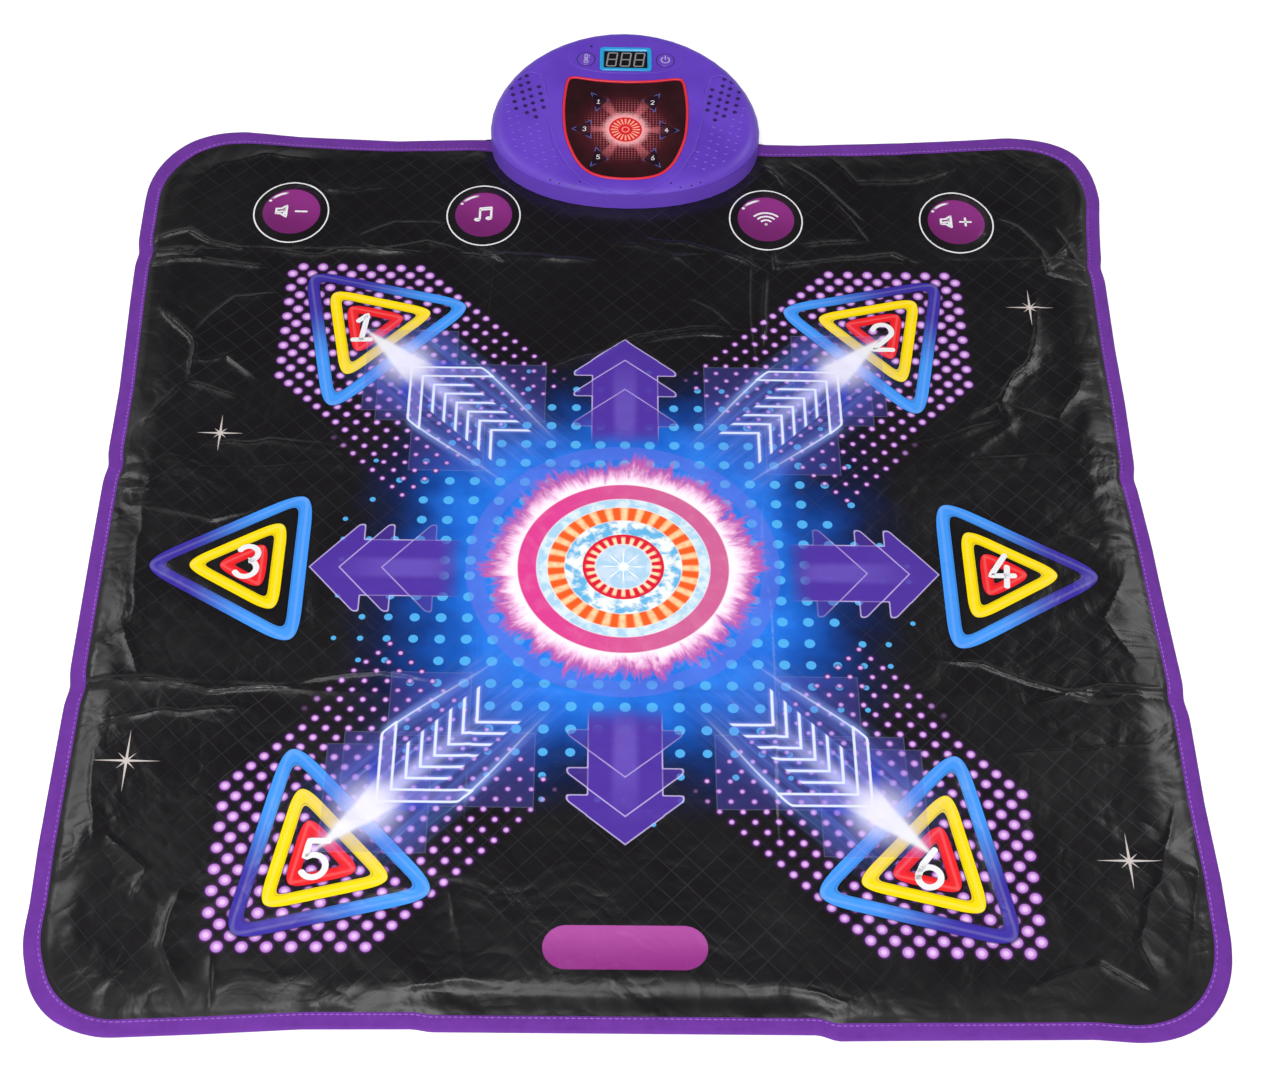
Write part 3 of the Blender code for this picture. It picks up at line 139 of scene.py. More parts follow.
# Camera, light and floor.
def addCamera():
    view = {"place": (-0.0325, -1.2666, 1.4999), "turn": (0.666505, -0.025435, -0.003387), "lens": 61.844}
    lens = bpy.data.cameras.new("photoView")
    lens.lens = view["lens"]
    lens.sensor_width = 36.0
    lens.sensor_fit = "HORIZONTAL"
    lens.clip_start = 0.05
    camera = bpy.data.objects.new("photoView", lens)
    camera.location = view["place"]
    camera.rotation_euler = view["turn"]
    bpy.context.scene.collection.objects.link(camera)
    bpy.context.scene.camera = camera


def addLamp(name, place, size, power):
    lamp = bpy.data.lights.new(name, "AREA")
    lamp.shape = "RECTANGLE"
    lamp.size, lamp.size_y = size
    lamp.energy = power
    item = bpy.data.objects.new(name, lamp)
    item.location = place
    item.rotation_euler = (-Vector(place)).to_track_quat("-Z", "Y").to_euler()
    bpy.context.scene.collection.objects.link(item)


# Soft boxes round the mat; the room is pale but for a dark patch that the flat vinyl mirrors.
studio = {
    "lamps": {
        "front": ((-0.4, -2.3, 2.0), (1.6, 1.0), 54), "leftRear": ((-1.7, 1.1, 2.0), (0.7, 0.7), 8),
        "rightRear": ((1.7, 1.3, 1.9), (0.6, 0.7), 8), "top": ((-0.2, -0.3, 2.8), (1.2, 0.5), 16),
    },
    "patch": (0.0, 0.629, 0.777), "patchEdge": (0.80, 0.95), "patchTone": 0.020, "roomTone": 0.50,
    "floorSize": 14.0, "floorZ": -0.0004, "floorGlow": 0.40,
}


def addLights():
    bpy.context.scene.view_settings.view_transform = "Standard"
    for name, (place, size, power) in studio["lamps"].items():
        addLamp(name + "Softbox", place, size, power)
    world = bpy.data.worlds.new("studio")
    bpy.context.scene.world = world
    world.use_nodes = True
    g = Graph(world.node_tree)
    x, y, z = g.parts(g.node("ShaderNodeTexCoord").outputs["Generated"])
    towards = studio["patch"]
    patch = g.step(x * towards[0] + y * towards[1] + z * towards[2], *studio["patchEdge"])
    tone, dark = studio["roomTone"], studio["patchTone"]
    shade = g.mix(patch, (tone, tone, tone * 1.01, 1), (dark, dark, dark * 1.05, 1))
    sky = world.node_tree.nodes["Background"]
    g.feed(sky.inputs["Color"], shade)
    sky.inputs["Strength"].default_value = 1.0


def addFloor():
    size, z = studio["floorSize"], studio["floorZ"]
    mesh = bpy.data.meshes.new("paperFloor")
    corners = [(-size, -size, z), (size, -size, z), (size, size, z), (-size, size, z)]
    mesh.from_pydata(corners, [], [(0, 1, 2, 3)])
    floor = bpy.data.objects.new("paperFloor", mesh)
    bpy.context.scene.collection.objects.link(floor)
    look = newMaterial("paperFloor")
    g = Graph(look.node_tree)
    shader = g.shader
    shader.inputs["Roughness"].default_value = 0.9
    shader.inputs["Specular IOR Level"].default_value = 0.1
    grain = g.noise(g.objectCoords(), 60.0, 3.0)
    g.feed(shader.inputs["Base Color"], g.mix(grain, (0.86, 0.86, 0.865, 1), (0.9, 0.9, 0.9, 1)))
    # the camera sees paper white, and from below it sees through the floor
    rays = g.node("ShaderNodeLightPath")
    back = g.node("ShaderNodeNewGeometry").outputs["Backfacing"]
    glow, dark = g.emission(studio["floorGlow"]), g.emission(0.0)
    lift = g.join("ShaderNodeMixShader", rays.outputs["Is Camera Ray"], dark, glow)
    both = g.join("ShaderNodeAddShader", shader.outputs[0], lift)
    clear = g.node("ShaderNodeBsdfTransparent").outputs[0]
    g.feed(g.output.inputs["Surface"], g.join("ShaderNodeMixShader", back, both, clear))
    mesh.materials.append(look)
    floor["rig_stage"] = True


# Shader building. A Num is a socket that takes plain arithmetic.
class Num:
    def __init__(self, graph, socket):
        self.graph = graph
        self.socket = socket

    def __abs__(self):
        return self.graph.math("ABSOLUTE", self)


def addArithmetic(name, operation):
    setattr(Num, "__%s__" % name, lambda self, other: self.graph.math(operation, self, other))
    setattr(Num, "__r%s__" % name, lambda self, other: self.graph.math(operation, other, self))


for name, operation in (("add", "ADD"), ("sub", "SUBTRACT"), ("mul", "MULTIPLY"), ("truediv", "DIVIDE")):
    addArithmetic(name, operation)


class Graph:
    def __init__(self, tree):
        self.tree = tree
        self.count = 0
        self.ground = None
        found = {n.bl_idname: n for n in tree.nodes}
        self.shader = found.get("ShaderNodeBsdfPrincipled")
        self.output = found.get("ShaderNodeOutputMaterial")

    def node(self, kind, **settings):
        made = self.tree.nodes.new(kind)
        made.location = (-260 * (self.count // 12 + 2), -170 * (self.count % 12))
        self.count += 1
        for key, value in settings.items():
            setattr(made, key, value)
        return made

    def feed(self, socket, value):
        if isinstance(value, Num):
            self.tree.links.new(value.socket, socket)
        elif isinstance(value, bpy.types.NodeSocket):
            self.tree.links.new(value, socket)
        else:
            socket.default_value = value

    def math(self, operation, a, b=None, c=None, clamp=False):
        made = self.node("ShaderNodeMath", operation=operation, use_clamp=clamp)
        for socket, value in zip(made.inputs, (a, b, c)):
            if value is not None:
                self.feed(socket, value)
        return Num(self, made.outputs[0])

    def low(self, a, b):
        return self.math("MINIMUM", a, b)

    def high(self, a, b):
        return self.math("MAXIMUM", a, b)

    def softHigh(self, a, b, reach):
        return self.math("SMOOTH_MAX", a, b, reach)

    def step(self, value, start, end, first=0.0, last=1.0):
        # smooth change from first to last while value goes from start to end
        made = self.node("ShaderNodeMapRange", interpolation_type="SMOOTHSTEP", clamp=True)
        ends = {"Value": value, "From Min": start, "From Max": end, "To Min": first, "To Max": last}
        for name, part in ends.items():
            self.feed(made.inputs[name], part)
        return Num(self, made.outputs[0])

    def inside(self, distance, level=0.0, soft=0.00025):
        return self.step(distance, level + soft, level - soft)

    def line(self, distance, width, soft=0.00025):
        return self.inside(abs(distance), width / 2, soft)

    def length(self, a, b):
        return self.math("SQRT", a * a + b * b)

    def mix(self, factor, a, b):
        made = self.node("ShaderNodeMix", data_type="RGBA")
        self.feed(made.inputs[0], factor)
        self.feed(made.inputs[6], a)
        self.feed(made.inputs[7], b)
        return made.outputs[2]

    def paint(self, mask, colour, strength=1.0):
        # lays a colour over what is painted so far
        self.ground = self.mix(mask * strength if strength != 1.0 else mask, self.ground, colour)

    def join(self, kind, *parts):
        made = self.node(kind)
        for socket, part in zip(made.inputs, parts):
            self.feed(socket, part)
        return made.outputs[0]

    def emission(self, strength):
        made = self.node("ShaderNodeEmission")
        made.inputs["Color"].default_value = (1, 1, 1, 1)
        made.inputs["Strength"].default_value = strength
        return made.outputs[0]

    def parts(self, vector):
        made = self.node("ShaderNodeSeparateXYZ")
        self.feed(made.inputs[0], vector)
        return [Num(self, s) for s in made.outputs]

    def vector(self, x, y, z=0.0):
        return self.join("ShaderNodeCombineXYZ", x, y, z)

    def noise(self, vector, scale, detail=2.0, rough=0.5, bend=0.0):
        made = self.node("ShaderNodeTexNoise")
        ends = {"Vector": vector, "Scale": scale, "Detail": detail, "Roughness": rough, "Distortion": bend}
        for name, value in ends.items():
            self.feed(made.inputs[name], value)
        return Num(self, made.outputs["Fac"])

    def chance(self, value):
        made = self.node("ShaderNodeTexWhiteNoise", noise_dimensions="1D")
        self.feed(made.inputs["W"], value)
        return Num(self, made.outputs["Value"])

    def objectCoords(self):
        return self.node("ShaderNodeTexCoord").outputs["Object"]

    def bump(self, height, strength, distance, normal=None):
        made = self.node("ShaderNodeBump")
        made.inputs["Strength"].default_value = strength
        made.inputs["Distance"].default_value = distance
        self.feed(made.inputs["Height"], height)
        if normal is not None:
            self.feed(made.inputs["Normal"], normal)
        return made.outputs[0]

    def use(self, group, **values):
        made = self.node("ShaderNodeGroup", node_tree=group)
        for key, value in values.items():
            self.feed(made.inputs[key], value)
        return {socket.name: Num(self, socket) for socket in made.outputs}

    def finish(self, colour, wear, roughness, specular, normal):
        # the material's shader: worn places go from the first roughness to the second
        self.feed(self.shader.inputs["Base Color"], colour)
        self.feed(self.shader.inputs["Roughness"], self.step(wear, 0.3, 0.7, *roughness))
        self.shader.inputs["Specular IOR Level"].default_value = specular
        self.feed(self.shader.inputs["Normal"], normal)


def newMaterial(name):
    look = bpy.data.materials.new(name)
    look.use_nodes = True
    return look


def newGroup(name, inputs, outputs):
    # a shader group; an input without a value is a vector, every other socket a number
    group = bpy.data.node_groups.new(name, "ShaderNodeTree")
    for label, value in inputs:
        kind = "NodeSocketVector" if value is None else "NodeSocketFloat"
        socket = group.interface.new_socket(label, in_out="INPUT", socket_type=kind)
        if value is not None:
            socket.default_value = value
    for label in outputs:
        group.interface.new_socket(label, in_out="OUTPUT", socket_type="NodeSocketFloat")
    g = Graph(group)
    start = g.node("NodeGroupInput")
    end = g.node("NodeGroupOutput")
    return g, {s.name: Num(g, s) for s in start.outputs if s.name}, end


# Plan outlines, all in world x and y.
def matPlan(arcSteps):
    # the mat's outline, a little inside the binding's edge
    halfX, halfY, corner = (mat[key] - sheetPlan["inset"] for key in ("halfX", "halfY", "corner"))
    points = []
    for quarter, (sx, sy) in enumerate(((1, 1), (-1, 1), (-1, -1), (1, -1))):
        for k in range(arcSteps + 1):
            a = math.pi / 2 * (quarter + k / arcSteps)
            points.append((sx * (halfX - corner) + corner * math.cos(a),
                           mat["shiftY"] + sy * (halfY - corner) + corner * math.sin(a)))
    return points


def padPlan(core, radius, arcSteps=7):
    # a rounded outline round a core of three points given anticlockwise
    points = []
    for k in range(3):
        before, here, after = (Vector(core[(k + i) % 3]) for i in (-1, 0, 1))
        start = (here - before).normalized()
        end = (after - here).normalized()
        a0 = math.atan2(-start.x, start.y)
        a1 = math.atan2(-end.x, end.y)
        while a1 < a0:
            a1 += 2 * math.pi
        for i in range(arcSteps + 1):
            a = a0 + (a1 - a0) * i / arcSteps
            points.append((here.x + radius * math.cos(a), here.y + radius * math.sin(a)))
    return points


def turned(points):
    area = sum(a[0] * b[1] - b[0] * a[1] for a, b in zip(points, points[1:] + points[:1]))
    return points if area > 0 else points[::-1]


def padPlaces():
    # name of the pad, its panel, and its outline
    rise = mat["patternY"] + mat["shiftY"]
    found = {}
    for number, sx, sy in ((1, -1, 1), (2, 1, 1), (5, -1, -1), (6, 1, -1)):
        core = turned([(sx * x, sy * y + rise) for x, y in stepPad["corner"]])
        panel = panelRear if sy > 0 else panelFront
        found["step_pad_%d" % number] = (panel, padPlan(core, stepPad["radius"]))
    for number, sx in ((3, -1), (4, 1)):
        core = turned([(sx * x, y + rise) for x, y in stepPad["side"]])
        found["step_pad_%d" % number] = (panelFront, padPlan(core, stepPad["radius"]))
    y = menuPad["y"] + mat["shiftY"]
    for name, x in menuAt.items():
        oval = [(x + menuPad["radiusX"] * math.cos(a), y + menuPad["radiusY"] * math.sin(a))
                for a in (2 * math.pi * k / 40 for k in range(40))]
        found[name] = (panelRear, oval)
    return found


places = padPlaces()
padBodies = {name: name.replace("_", " ") for name in places}


def smooth(value, start, end):
    t = np.clip((value - start) / (end - start), 0, 1)
    return t * t * (3 - 2 * t)


def latticeNoise(x, y, seed):
    # smooth noise from -1 to 1 with one bump per unit
    ix, iy = np.floor(x).astype(np.int64), np.floor(y).astype(np.int64)
    fx, fy = x - ix, y - iy
    fx, fy = fx * fx * fx * (fx * (6 * fx - 15) + 10), fy * fy * fy * (fy * (6 * fy - 15) + 10)

    def corner(i, j):
        n = (i * 73856093) ^ (j * 19349663) ^ (seed * 83492791)
        n = (n ^ (n >> 13)) * 1274126177 & 0x7FFFFFFF
        n = (n ^ (n >> 15)) * 668265263 & 0x7FFFFFFF
        return (n >> 7 & 0xFFFF) / 32767.5 - 1

    low = corner(ix, iy) * (1 - fx) + corner(ix + 1, iy) * fx
    high = corner(ix, iy + 1) * (1 - fx) + corner(ix + 1, iy + 1) * fx
    return low * (1 - fy) + high * fy


def layeredNoise(x, y, cell, seed, layers=3):
    total, share = 0.0, 1.0
    for k in range(layers):
        total = total + share * latticeNoise(x / cell, y / cell, seed + k)
        cell, share = cell / 2.1, share / 2
    return total


def planDepth(x, y, margin=0.0, corner=mat["corner"]):
    # how far a point is inside the mat's outline, or inside a rounded one that lies further in
    halfX, halfY = mat["halfX"] - margin, mat["halfY"] - margin
    qx, qy = np.abs(x) - halfX + corner, np.abs(y - mat["shiftY"]) - halfY + corner
    return -(np.hypot(np.maximum(qx, 0), np.maximum(qy, 0)) + np.minimum(np.maximum(qx, qy), 0) - corner)


def consoleDepth(x, y):
    # how far inside the console's plan a point is, near enough
    v = y - consolePlan["y"] - mat["shiftY"]
    reach = np.where(v < 0, consolePlan["front"], consolePlan["rear"])
    power = np.where(v < 0, consolePlan["powerFront"], consolePlan["powerRear"])
    u, w = np.abs(x) / consolePlan["halfX"], np.abs(v) / reach
    size = np.maximum(u ** power + w ** power, 1e-9) ** (1 / power)
    return (1 - size) * np.hypot(x, v) / np.maximum(size, 1e-6)


def padDepth(x, y):
    # how far inside the nearest pad a point is; below zero outside all of them
    best = np.full(np.shape(x), -1.0)
    for _, outline in places.values():
        ring = np.array(outline)
        low, high = ring.min(0) - 0.03, ring.max(0) + 0.03
        near = (x > low[0]) & (x < high[0]) & (y > low[1]) & (y < high[1])
        if not near.any():
            continue
        px, py = x[near][:, None], y[near][:, None]
        a, b = ring, np.roll(ring, -1, 0)
        ex, ey = (b - a).T
        t = np.clip(((px - a[:, 0]) * ex + (py - a[:, 1]) * ey) / (ex * ex + ey * ey), 0, 1)
        gap = np.hypot(px - a[:, 0] - t * ex, py - a[:, 1] - t * ey).min(1)
        side = ex * (py - a[:, 1]) - ey * (px - a[:, 0])
        crossing = ((a[:, 1] > py) != (b[:, 1] > py)) & (side * np.where(b[:, 1] > a[:, 1], 1, -1) > 0)
        inner = crossing.sum(1) % 2 == 1
        best[near] = np.maximum(best[near], np.where(inner, gap, -gap))
    return best


# Lines where the mat was folded for its box: place, ridge height and half width.
creases = {
    "acrossY": ((0.2565, 0.0015, 0.0040), (-0.0115, 0.0010, 0.0035), (-0.2500, 0.0014, 0.0040)),
    "alongX": ((-0.1280, 0.0010, 0.0040), (0.1200, 0.0011, 0.0040)),
    "kink": 0.0022, "wander": 0.0060,
}
# Single folds of the loose vinyl: height and half width in tenths of a millimetre, then the points that each
# one runs through in millimetres.
foldTable = (
    (28, 50, (-450, 270), (-415, 285), (-397, 269), (-367, 260)),
    (26, 40, (-450, 258), (-409, 250), (-403, 262)), (24, 55, (-455, 240), (-400, 243), (-340, 236)),
    (22, 50, (-350, 262), (-300, 254), (-262, 262), (-200, 258)),
    (30, 55, (-429, 177), (-399, 140), (-398, 87)), (22, 50, (-398, 87), (-373, 77), (-351, 67)),
    (20, 60, (-433, 40), (-402, 82)), (20, 70, (-399, 151), (-368, 195), (-329, 201)),
    (18, 80, (-405, 108), (-368, 119), (-334, 88)), (24, 70, (-440, -22), (-406, -4), (-379, -13)),
    (22, 45, (-435, -41), (-418, -42), (-410, -16)),
    (20, 60, (-380, 12), (-318, 18), (-264, 10), (-234, 4)),
    (18, 60, (-430, -60), (-360, -75), (-310, -60)), (18, 110, (-263, 277), (-224, 298), (-167, 300)),
    (16, 120, (-327, 347), (-268, 342), (-228, 355)),
    (20, 60, (-263, 274), (-238, 263), (-194, 276), (-157, 262)),
    (24, 50, (-450, -245), (-390, -243), (-350, -254), (-258, -250)),
    (22, 70, (-424, -286), (-381, -277), (-304, -268)),
    (20, 60, (-282, -247), (-228, -237), (-204, -233), (-155, -241)),
    (18, 60, (-421, -189), (-400, -240)), (8, 50, (-422, -53), (-414, -189)),
    (28, 55, (360, 324), (384, 304), (404, 272)), (30, 40, (404, 272), (406, 243), (441, 229)),
    (30, 40, (418, 304), (436, 264)), (28, 40, (432, 287), (411, 252)),
    (26, 35, (395, 250), (425, 262), (447, 250)),
    (32, 60, (392, 215), (384, 145), (344, 76), (351, 50), (310, 14), (250, -4)),
    (22, 55, (248, 20), (293, 30), (349, 55)), (22, 70, (425, 103), (396, 56)),
    (28, 60, (355, 71), (395, 51), (416, 31), (443, 15)), (18, 60, (314, 54), (348, 81)),
    (22, 50, (298, 4), (367, 12), (404, 6), (447, 10)),
    (24, 55, (256, -214), (301, -221), (338, -238), (385, -256), (425, -249)),
    (20, 50, (336, -259), (394, -241), (445, -241)),
    (20, 70, (208, 403), (231, 366), (290, 368), (334, 387)),
    (20, 60, (204, 344), (223, 312), (238, 283)),
    (22, 45, (148, 244), (190, 255), (261, 266), (288, 249)),
    (18, 80, (310, -308), (372, -304), (421, -299)), (18, 60, (390, -48), (416, -76), (434, -81)),
    (16, 60, (372, -72), (407, -90)), (11, 60, (430, -120), (405, -170), (425, -215)),
    (24, 60, (-163, 257), (-138, 253), (-116, 259), (-75, 255), (-32, 250)),
    (22, 40, (-147, 268), (-130, 257), (-116, 248)),
    (24, 40, (20, 282), (59, 277), (94, 264), (116, 253), (134, 241)), (22, 45, (144, 272), (144, 241)),
    (22, 35, (137, 238), (134, 193), (130, 141)), (20, 45, (174, 276), (205, 282), (233, 286)),
    (18, 40, (-80, 107), (-36, 122), (11, 152), (65, 166), (115, 159)),
    (16, 35, (11, 143), (65, 156), (107, 154)), (24, 70, (166, 395), (190, 371), (214, 338), (234, 311)),
    (22, 60, (140, 390), (154, 374), (160, 358)), (18, 90, (60, 202), (81, 188), (102, 163)),
    (16, 90, (-26, 277), (12, 274), (53, 256), (82, 226)),
    (18, 60, (-405, -393), (-371, -421), (-379, -448)),
    (22, 90, (-344, -441), (-350, -487), (-328, -526)), (18, 60, (-311, -494), (-308, -535)),
    (20, 60, (-166, -520), (-120, -511), (-84, -520)), (18, 50, (-78, -520), (-14, -522), (26, -524)),
    (18, 50, (-14, -500), (-3, -523)), (20, 60, (79, -522), (120, -515), (166, -524)),
    (14, 70, (434, -355), (392, -473), (398, -513)), (18, 70, (309, -514), (359, -494), (397, -519)),
    (20, 50, (-135, -439), (-119, -518)), (10, 50, (446, -398), (426, -486)),
    (8, 50, (-430, -310), (-418, -400)), (18, 100, (-300, 385), (-360, 392), (-420, 360)),
)
looseFolds = [(high / 10000, wide / 10000, [(x / 1000, y / 1000) for x, y in line])
              for high, wide, *line in foldTable]
looseVinyl = {
    "undulation": 0.0016, "facet": ((0.085, 0.0013, 41), (0.036, 0.0007, 57)), "pucker": 0.0010,
    "steep": 0.32, "gentle": 0.80, "foldGain": 0.95, "padCrown": 0.0010,
}


def creaseShape(off, width):
    # steep on the far side of a crease and gentle on the near side
    return np.exp(-np.abs(off / np.where(off > 0, 0.5 * width, 1.6 * width)) ** 1.2)


def foldLine(x, y, height, width, points, seed):
    # a rounded ridge along a line of points, steeper on one side and lower towards both ends
    whole = sum(math.dist(a, b) for a, b in zip(points, points[1:]))
    low, high = np.min(points, 0) - 0.03, np.max(points, 0) + 0.03
    total = np.zeros(np.shape(x))
    near = (x > low[0]) & (x < high[0]) & (y > low[1]) & (y < high[1])
    px, py = x[near], y[near]
    shift = 0.0022 * latticeNoise(px / 0.021, py / 0.021, seed)
    px, py = px + shift, py - shift
    best, side, along = np.full(len(px), 1.0), np.zeros(len(px)), np.zeros(len(px))
    done = 0.0
    for (x0, y0), (x1, y1) in zip(points, points[1:]):
        long = math.dist((x0, y0), (x1, y1))
        ux, uy = (x1 - x0) / long, (y1 - y0) / long
        t = np.clip((px - x0) * ux + (py - y0) * uy, 0, long)
        dx, dy = px - x0 - t * ux, py - y0 - t * uy
        gap = np.hypot(dx, dy)
        closer = gap < best
        best = np.where(closer, gap, best)
        side = np.where(closer, np.sign(ux * dy - uy * dx), side)
        along = np.where(closer, done + t, along)
        done += long
    lean = 1 if seed % 2 else -1
    reach = width * np.where(side * lean > 0, looseVinyl["steep"], looseVinyl["gentle"])
    ends = smooth(along, -0.004, 0.22 * whole) * smooth(along, whole + 0.004, 0.78 * whole)
    ridge = np.exp(-(best / reach) ** 1.1) * smooth(best, 0.030, 0.018)
    total[near] = looseVinyl["foldGain"] * height * (0.25 + 0.75 * ends) * ridge
    return total


def wrinkleHeight(x, y):
    wander = creases["wander"]
    depth = planDepth(x, y)
    border = smooth(depth, 0.13, 0.05)
    total = looseVinyl["undulation"] * (0.6 + 0.5 * layeredNoise(x, y, 0.19, 3, 2))
    for place, height, width in creases["acrossY"]:
        off = y - place - wander * latticeNoise(x / 0.085, y * 0, int(abs(place) * 1000))
        strength = 0.65 + 0.5 * latticeNoise(x / 0.06, y * 0 + 3, 11) + 0.7 * smooth(np.abs(x), 0.30, 0.44)
        total = total + height * strength * creaseShape(off, width)
    for place, height, width in creases["alongX"]:
        off = x - place - wander * 0.5 * latticeNoise(y / 0.09, x * 0, 31)
        strength = 0.6 + 0.6 * latticeNoise(y / 0.07, x * 0 + 5, 17)
        total = total + height * strength * creaseShape(off, width)
    for k, (height, width, points) in enumerate(looseFolds):
        total = total + foldLine(x, y, height, width, points, k)
    # soft facets: flat-sided hollows that meet in creases
    for cell, height, seed in looseVinyl["facet"]:
        bendX = x + 0.35 * cell * latticeNoise(x / cell * 0.8, y / cell * 0.8, seed + 3)
        field = latticeNoise((bendX * 0.87 + y * 0.5) / cell, (y * 0.87 - bendX * 0.5) / cell, seed)
        patch = smooth(layeredNoise(x, y, 0.15, seed + 5, 2), -0.5, 0.7)
        total = total + height * (0.22 + 0.78 * border) * (0.3 + 0.7 * patch) * np.abs(field)
    # puckers where the sewn edge draws the sheet in
    along = np.where(np.abs(x) / mat["halfX"] > np.abs(y - mat["shiftY"]) / mat["halfY"], y, x)
    pucker = np.maximum(0, latticeNoise(along / 0.021, depth / 0.06, 91)) * smooth(depth, 0.075, 0.028)
    total = total + looseVinyl["pucker"] * pucker
    # room left for the folded halves to lie face to face
    gap = np.abs(y - foldAt)
    return np.minimum(total, 0.0007 + 0.033 * gap + 0.0010 * smooth(gap, 0.05, 0.0))


def sheetHeight(x, y):
    x, y = np.asarray(x, float), np.asarray(y, float)
    inner = planDepth(x, y, mat["insertMargin"], mat["insertCorner"])
    # the front edge lies flatter in the middle, where it comes down on the console's buttons when folded
    flatter = smooth(np.abs(x), 0.17, 0.12) * smooth(y, -0.42, -0.49)
    rise = smooth(inner, -0.032, -0.001) * (1 - flatter) + smooth(inner, -0.014, 0.001) * flatter
    base = mat["edgeZ"] + (mat["topZ"] - mat["edgeZ"]) * rise
    depth = planDepth(x, y)
    wrinkle = wrinkleHeight(x, y) * (1 - 0.85 * flatter)
    pad = padDepth(x, y)
    crown = looseVinyl["padCrown"] * smooth(pad, 0.0, 0.012)
    calm = (0.25 + 0.75 * smooth(np.abs(pad), 0.0, 0.016)) * np.where(pad > 0, 0.45, 1.0)
    height = base + wrinkle * calm + np.where(pad > 0, crown, 0.0)
    # flat under the binding and under the console
    flap = smooth(depth, 0.0100, 0.0180)
    height = 0.0022 * (1 - flap) + height * flap
    under = consoleDepth(x, y)
    flat = smooth(under, -0.014, 0.001)
    return height * (1 - flat) + mat["underConsoleZ"] * flat


# How far the loose outline strays outward from the pattern: rows of place and shift along each side, and a
# bulge of the rear right corner as place, push and reach.
outlineDrift = {
    "left": ((-0.54, 0.003), (-0.50, -0.003), (-0.45, -0.0040), (-0.40, -0.0022), (-0.25, -0.0012),
             (-0.12, 0.0008), (0.03, 0.0024), (0.08, 0.0030), (0.13, 0.0055), (0.19, 0.0085),
             (0.26, 0.0115), (0.33, 0.0130), (0.40, 0.0110)),
    "right": ((-0.54, 0.0080), (-0.48, 0.0058), (-0.42, 0.0072), (-0.35, 0.0056), (-0.25, 0.0070),
              (-0.15, 0.0036), (-0.09, 0.0024), (-0.03, -0.0006), (0.03, 0.0010), (0.08, 0.0026),
              (0.15, 0.0030), (0.21, 0.0048), (0.28, 0.0069), (0.35, 0.0140), (0.40, 0.0150)),
    "front": ((-0.43, 0.0070), (-0.385, 0.0068), (-0.31, 0.0030), (-0.24, -0.0014), (-0.10, -0.0028),
              (-0.02, -0.0006), (0.06, 0.0024), (0.13, 0.0052), (0.20, 0.0040), (0.35, 0.0018),
              (0.43, 0.0080)),
    "rear": ((-0.43, 0.0100), (-0.38, 0.0060), (-0.33, 0.0), (-0.23, -0.0040), (-0.16, 0.0), (0.18, 0.0),
             (0.28, 0.0060), (0.34, 0.0110), (0.385, 0.0150), (0.43, 0.0150)),
    "bulge": (0.432, 0.398, 0.0085, 0.045),
}


def warped(x, y):
    # the outline draws in a little where the mat was folded
    x, y = np.asarray(x, float), np.asarray(y, float)
    side = sum(np.exp(-((y - c[0]) / 0.011) ** 2) for c in creases["acrossY"])
    ends = sum(np.exp(-((x - c[0]) / 0.012) ** 2) for c in creases["alongX"])
    away = smooth(np.abs(x), 0.34, 0.46)
    over = smooth(np.abs(y - mat["shiftY"]), 0.40, 0.49) * smooth(np.abs(x), 0.142, 0.16)

    def stray(name, place):
        return np.interp(place, *zip(*outlineDrift[name]))

    drift = np.where(x < 0, stray("left", y), stray("right", y))
    rise = np.where(y < mat["shiftY"], stray("front", x), stray("rear", x))
    cx, cy, push, reach = outlineDrift["bulge"]
    corner = push * np.exp(-((x - cx) ** 2 + (y - cy) ** 2) / reach ** 2)
    return (x - np.sign(x) * away * (creases["kink"] * side - drift) + corner,
            y - np.sign(y - mat["shiftY"]) * over * (0.0020 * ends - rise) + corner)


# Sheets of triangles between outlines.
sheetPlan = {
    "step": 0.0040, "inset": 0.0012, "creaseStep": 0.0018, "foldStep": 0.0021, "closest": 0.0014,
    "foldRows": (-0.0062, -0.0043, -0.0027, -0.0013, 0.0, 0.0013, 0.0027, 0.0043, 0.0062),
}


def between(a, b, count):
    # points from a up to but without b
    return [(a[0] + (b[0] - a[0]) * k / count, a[1] + (b[1] - a[1]) * k / count) for k in range(count)]


def foldPoints():
    # rows of closely set points along every fold, so that its crest stays crisp
    rows, step = [], sheetPlan["foldStep"]
    for _, _, points in looseFolds:
        for (x0, y0), (x1, y1) in zip(points, points[1:]):
            long = math.dist((x0, y0), (x1, y1))
            ux, uy = (x1 - x0) / long, (y1 - y0) / long
            for k in range(int(long / step) + 1):
                x, y = x0 + ux * k * step, y0 + uy * k * step
                rows += [(x - uy * off, y + ux * off) for off in sheetPlan["foldRows"]]
    return rows


